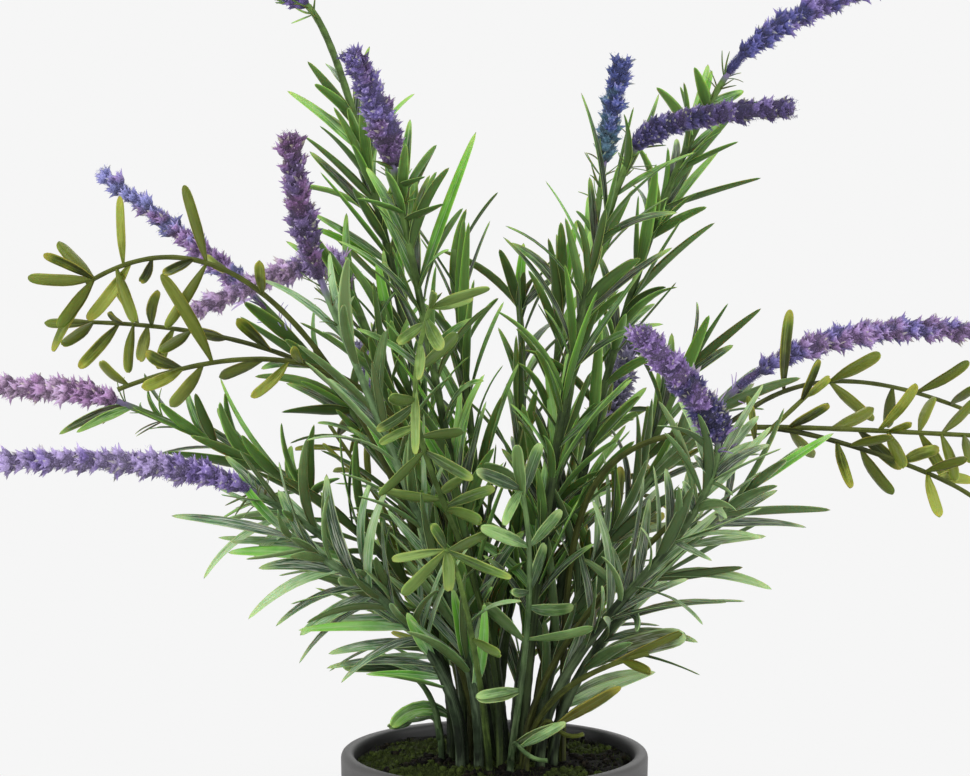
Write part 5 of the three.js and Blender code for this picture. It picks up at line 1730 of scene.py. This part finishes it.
def bloom_mesh(plant, i):
    """A flower spike: rows of florets round a core, closing in a tuft at the tip."""
    rng = np.random.default_rng(SPIKE_SEED + i)
    row, line = plant["row"], plant["spike"]
    look = SPIKE_LOOKS[row["name"]]
    style = PACKED if look.get("packed") else STARRY
    length = np.linalg.norm(line.pulls[-1] - line.pulls[0])
    whorls = math.floor(length / WHORL_PITCH + 0.5)
    skin = Skin(*LEAF_VALUES)
    add_core(skin, row, line, style, whorls)
    florets = add_whorls(skin, row, line, style, whorls, length / whorls, rng)
    florets += add_tuft(skin, row, line, style, rng)
    add_pile(skin, florets, rng)
    add_core_pile(skin, row, line, style.core, rng)
    if look.get("flocked_bracts"):
        add_bracts(skin, plant["shoots"][0], LAVENDER_KEY + i)
    return skin.mesh(f"bloom_{row['name']}")


# The pot and its soil.


def pot_mesh():
    """The pot: a closed outline turned about the upright axis, with rounded foot and lip."""
    outline = [(POT_BASE_RADIUS - inward, up, 0.0) for inward, up in FOOT_OUTLINE]
    for i, (inward, down) in enumerate(LIP_OUTLINE):
        rim = 1.0 if ROLL_START <= i < ROLL_END else 0.0
        outline.append((POT_LIP_RADIUS - inward, POT_HEIGHT - down, rim))
    inner = POT_BASE_RADIUS - POT_WALL
    outline += [(inner, POT_FLOOR + FLOOR_ROUNDING, 0.0), (inner - FLOOR_ROUNDING, POT_FLOOR, 0.0)]
    angle = turns(POT_SIDES)
    skin = Skin("rim")
    rings = np.array([
        np.stack([radius * np.cos(angle), radius * np.sin(angle), np.full(POT_SIDES, z)], axis=-1)
        for radius, z, _ in outline
    ])
    rims = np.array([[rim] for _, _, rim in outline])
    skin.tube(rings, {"rim": rims}, 0, head=(0, 0, 0), tail=(0, 0, POT_FLOOR))
    return skin.mesh("pot_body")


def ripple(x, y):
    """Uneven ground from waves of several lengths, within about one millimetre."""
    rows = enumerate(WAVES)
    return sum(np.sin(a * x + b * y + c) * WAVE_HEIGHT / (1 + WAVE_FADE * n) for n, (a, b, c) in rows)


def soil_height(x, y):
    radius = np.hypot(x, y)
    beyond = np.clip((radius - SOIL_LEVEL_RADIUS) / (SOIL_REACH - SOIL_LEVEL_RADIUS), 0, 1)
    return SOIL_TOP - beyond * SOIL_FALL + (0.5 + 0.5 * beyond) * ripple(x, y)


def moss_share(x, y):
    """How mossy the soil is at a place: patches, more of them on the left."""
    (x_pitch, x_start), (y_pitch, y_start) = MOSS_BLOTCHES
    blotches = np.sin(x_pitch * x + x_start) * np.cos(y_pitch * y + y_start)
    stripes = MOSS_STRIPE_HEIGHT * np.sin(MOSS_STRIPES[0] * x + MOSS_STRIPES[1] * y)
    return smooth(*MOSS_RANGE, blotches + stripes + MOSS_LEVEL - MOSS_PER_MM_LEFT * x)


def soil_mesh():
    """The bed of soil: its uneven top, its edge, and its side down to near the pot's floor."""
    angle = turns(SOIL_SECTORS)
    radii = SOIL_REACH * np.sqrt(np.linspace(1, SOIL_MIDDLE_SHARE, SOIL_RINGS))
    x = radii[:, None] * np.cos(angle)
    y = radii[:, None] * np.sin(angle)
    top = np.stack([x, y, soil_height(x, y)], axis=-1)
    low = (POT_BASE_RADIUS - POT_WALL - SOIL_PLAY) / SOIL_REACH
    bottom = np.stack([low * x[0], low * y[0], np.full(SOIL_SECTORS, SOIL_BOTTOM)], axis=-1)
    edge = top[0] - UP * SOIL_EDGE_DEPTH
    rings = np.concatenate([bottom[None], edge[None], top])
    flat = rings[..., 0], rings[..., 1]
    tints = SOIL_TINT + SOIL_TINT_SWING * ripple(*flat)
    values = {"tint": tints, "moss": MOSS_ON_SOIL * moss_share(*flat)}
    skin = Skin("tint", "moss")
    skin.tube(rings, values, 0, head=(0, 0, SOIL_BOTTOM), tail=(0, 0, SOIL_TOP))
    return skin.mesh("soil_bed")


def scattered(rng, count, margin):
    """Places all over the soil, but for a margin along its edge."""
    radius = (SOIL_REACH - margin) * np.sqrt(rng.uniform(0, 1, count))
    angle = rng.uniform(0, 2 * math.pi, count)
    return radius * np.cos(angle), radius * np.sin(angle)


def crumb_shape():
    """A twenty-sided ball, as its corners and faces."""
    corners = []
    for a in (-1, 1):
        for b in (-GOLDEN, GOLDEN):
            corners += [(0, a, b), (a, b, 0), (b, 0, a)]
    corners = unit(np.array(corners, float))
    faces = []
    for trio in combinations(range(len(corners)), 3):
        first, second, third = corners[list(trio)]
        sides = (second - first, third - second, first - third)
        if all(np.linalg.norm(side) < BALL_EDGE for side in sides):
            outward = np.cross(second - first, third - first) @ (first + second + third)
            faces.append(trio if outward > 0 else (trio[0], trio[2], trio[1]))
    return corners, np.array(faces)


def crumbs_mesh():
    """Loose crumbs of soil and moss, sunk a little in the bed."""
    rng = np.random.default_rng(CRUMB_SEED)
    corners, faces = crumb_shape()
    x, y = scattered(rng, CRUMBS, CRUMB_MARGIN)
    size = mix(*CRUMB_SIZES, rng.uniform(0, 1, CRUMBS) ** CRUMB_SMALLNESS)
    stretch = rng.uniform(*CRUMB_STRETCH, (CRUMBS, 1, 3))
    dents = rng.uniform(*CRUMB_DENTS, (CRUMBS, len(corners), 1))
    centres = np.stack([x, y, soil_height(x, y) + CRUMB_RISE * size], axis=-1)
    points = centres[:, None] + corners * stretch * dents * size[:, None, None]
    mossy = (rng.uniform(0, 1, CRUMBS) < moss_share(x, y)) * rng.uniform(*CRUMB_MOSS, CRUMBS)
    tints = np.repeat(rng.uniform(*CRUMB_TINTS, CRUMBS), len(corners))
    skin = Skin("tint", "moss")
    start = skin.put(points.reshape(-1, 3), {"tint": tints, "moss": np.repeat(mossy, len(corners))})
    rows = start + faces[None] + len(corners) * np.arange(CRUMBS)[:, None, None]
    skin.triangles.append((rows.reshape(-1, 3), 0))
    return skin.mesh("soil_crumbs")


def moss_mesh():
    """Short upright points of moss, thick where the soil is mossy."""
    rng = np.random.default_rng(MOSS_SEED)
    x, y = scattered(rng, 3 * MOSS_BLADES, MOSS_MARGIN)
    grows = rng.uniform(0, 1, len(x)) < MOSS_EVERYWHERE + moss_share(x, y)
    kept = np.flatnonzero(grows)[:MOSS_BLADES]
    x, y = x[kept], y[kept]
    feet = np.stack([x, y, soil_height(x, y) - MOSS_SINK], axis=-1)
    leans = UP + MOSS_TILT * rng.standard_normal((len(x), 3))
    axes = leans * rng.uniform(*MOSS_LENGTHS, (len(x), 1))
    values = {"tint": rng.uniform(0, 1, len(x)), "moss": rng.uniform(0.5, 1, len(x))}
    skin = Skin("tint", "moss")
    skin.spikes(feet, axes, rng.uniform(*MOSS_WIDTHS, len(x)), values)
    return skin.mesh("moss_tufts")


def fibres_mesh():
    """Fine curled root fibres lying on the soil."""
    rng = np.random.default_rng(FIBRE_SEED)
    skin = Skin("tint", "moss")
    angle = turns(4)
    for _ in range(FIBRES):
        radius = (SOIL_REACH - FIBRE_MARGIN) * math.sqrt(rng.uniform())
        around = rng.uniform(0, 2 * math.pi)
        heading = rng.uniform(0, 2 * math.pi)
        bend = rng.uniform(-FIBRE_BEND, FIBRE_BEND)
        steps = rng.integers(*FIBRE_STEPS)
        headings = heading + bend * np.arange(steps)
        x = radius * math.cos(around) + np.cumsum(np.cos(headings)) * FIBRE_STEP
        y = radius * math.sin(around) + np.cumsum(np.sin(headings)) * FIBRE_STEP
        if np.hypot(x, y).max() > SOIL_REACH - FIBRE_EDGE:
            continue
        wave = FIBRE_WAVE * np.sin(np.arange(steps) * FIBRE_WAVE_PITCH)
        at = np.stack([x, y, soil_height(x, y) + FIBRE_RISE + wave], axis=-1)
        side = np.stack([-np.sin(headings), np.cos(headings), np.zeros(steps)], axis=-1)
        rings = at[:, None] + FIBRE_RADIUS * ring_of(side[:, None], UP, angle)
        skin.tube(rings, {"tint": rng.uniform(*FIBRE_TINTS), "moss": 0.0}, 0)
    return skin.mesh("root_fibres")


# The camera, the lights and the stage.


def put_in_scene(name, data):
    made = bpy.data.objects.new(name, data)
    bpy.context.scene.collection.objects.link(made)
    return made


def make_camera():
    camera = put_in_scene("camera", bpy.data.cameras.new("camera"))
    camera.data.sensor_width = SENSOR_WIDTH
    camera.data.lens = FOCAL_PIXELS / IMAGE_WIDTH * SENSOR_WIDTH
    camera.data.clip_end = FAR_LIMIT
    camera.location = np.array(CAMERA_PLACE) * MM
    camera.rotation_euler = (math.radians(90 - CAMERA_PITCH), 0, 0)
    bpy.context.scene.camera = camera


def make_lights():
    for name, row in LIGHTS.items():
        light = bpy.data.lights.new(name, "AREA")
        light.size = row["size"]
        light.energy = row["watts"]
        lamp = put_in_scene(name, light)
        lamp.location = row["place"]
        aim = np.subtract(LIGHT_AIM, row["place"])
        level = math.hypot(aim[0], aim[1])
        lamp.rotation_euler = (math.atan2(level, -aim[2]), 0, math.atan2(-aim[0], aim[1]))
    world = bpy.data.worlds.new("studio")
    world.use_nodes = True
    sky = world.node_tree.nodes["Background"].inputs
    sky["Color"].default_value = linear(SKY_COLOUR)
    sky["Strength"].default_value = WORLD_STRENGTH
    bpy.context.scene.world = world
    bpy.context.scene.view_settings.view_transform = "Standard"


def floor_material():
    """Pale and dull near the pot, where its shadow falls, and evenly lit from within farther out."""
    nodes = Nodes("floor")
    distance = nodes.add("ShaderNodeVectorMath", {0: nodes.places}, operation="LENGTH").outputs["Value"]
    glow = nodes.step(distance, NEAR_FLOOR, FAR_FLOOR)
    return nodes.finish(
        base_color=nodes.blend(glow, linear(NEAR_FLOOR_COLOUR), linear(BLACK)),
        roughness=FLOOR_ROUGHNESS,
        specular_ior_level=0.0,
        emission_color=linear(FLOOR_COLOUR),
        emission_strength=glow,
    )


def make_stage():
    """A pale floor that curves up into a wall far behind the pot."""
    bend = np.linspace(0, math.pi / 2, BEND_POINTS)
    profile = [(STAGE_FRONT, 0)]
    profile += [(STAGE_BACK + STAGE_BEND * math.sin(a), STAGE_BEND * (1 - math.cos(a))) for a in bend]
    profile += [(STAGE_BACK + STAGE_BEND, STAGE_TOP)]
    corners = [(x, y, z) for y, z in profile for x in (-STAGE_HALF_WIDTH, STAGE_HALF_WIDTH)]
    faces = [(2 * i, 2 * i + 1, 2 * i + 3, 2 * i + 2) for i in range(len(profile) - 1)]
    mesh = bpy.data.meshes.new("floor")
    mesh.from_pydata(corners, [], faces)
    mesh.shade_smooth()
    mesh.materials.append(floor_material())
    put_in_scene("floor", mesh)


def radii_of(plant, number):
    """The radii at a shoot's foot and tip in the frame. Shoot 0 is the main one."""
    if plant["kind"] is LAVENDER_BLADE:
        return LAVENDER_RADII
    return BRANCH_RADII if number else SPRIG_RADII


def plant_mesh(name, plant, look, i):
    """All leaves and stems of a plant, and the bracts under its flower spike."""
    skin = Skin(*LEAF_VALUES)
    slimness = LAVENDER_SLIMNESS if plant["kind"] is LAVENDER_BLADE else SPRIG_SLIMNESS
    for kind, blade in leaves[plant["name"]]:
        add_leaf(skin, kind, blade, LEAF_LOOKS[look]["wideness"])
    for number, shoot in enumerate(plant["shoots"]):
        add_stem(skin, shoot, radii_of(plant, number), slimness, number == 0, bool(plant["spike"]))
    if plant["spike"] and not SPIKE_LOOKS[plant["row"]["name"]].get("flocked_bracts"):
        add_bracts(skin, plant["shoots"][0], LAVENDER_KEY + i)
    return skin.mesh(name)


make_camera()
make_lights()
make_stage()

leaf_materials = {look: leaf_material(look) for look in LEAF_LOOKS}
stem_materials = {look: stem_material(look) for look in STEM_LOOKS}
soil_finish = soil_material()

add_piece("pot_body", pot_mesh(), [pot_material()], "pot", "pot")
add_piece("soil_bed", soil_mesh(), [soil_finish], "soil", "soil")
add_piece("soil_crumbs", crumbs_mesh(), [soil_finish], "soil")
add_piece("moss_tufts", moss_mesh(), [soil_finish], "soil")
add_piece("root_fibres", fibres_mesh(), [soil_finish], "soil")

leaves = place_leaves()
for i, plant in enumerate(plants):
    row = plant["row"]
    look = row.get("look", row["tone"])
    name = ("shoot_" if plant["kind"] is LAVENDER_BLADE else "olive_sprig_") + row["name"]
    finishes = [leaf_materials[look], stem_materials[look]]
    mesh = plant_mesh(name, plant, look, i)
    add_piece(name, mesh, finishes, "leaf_" + row["tone"], plant["name"])
    if plant["spike"]:
        spike_name = "bloom_" + row["name"]
        spike_node = "flower_spike_" + row["name"]
        finish = [bloom_material(row["name"])]
        add_piece(spike_name, bloom_mesh(plant, i), finish, "bloom_" + row["bloom"], spike_node)
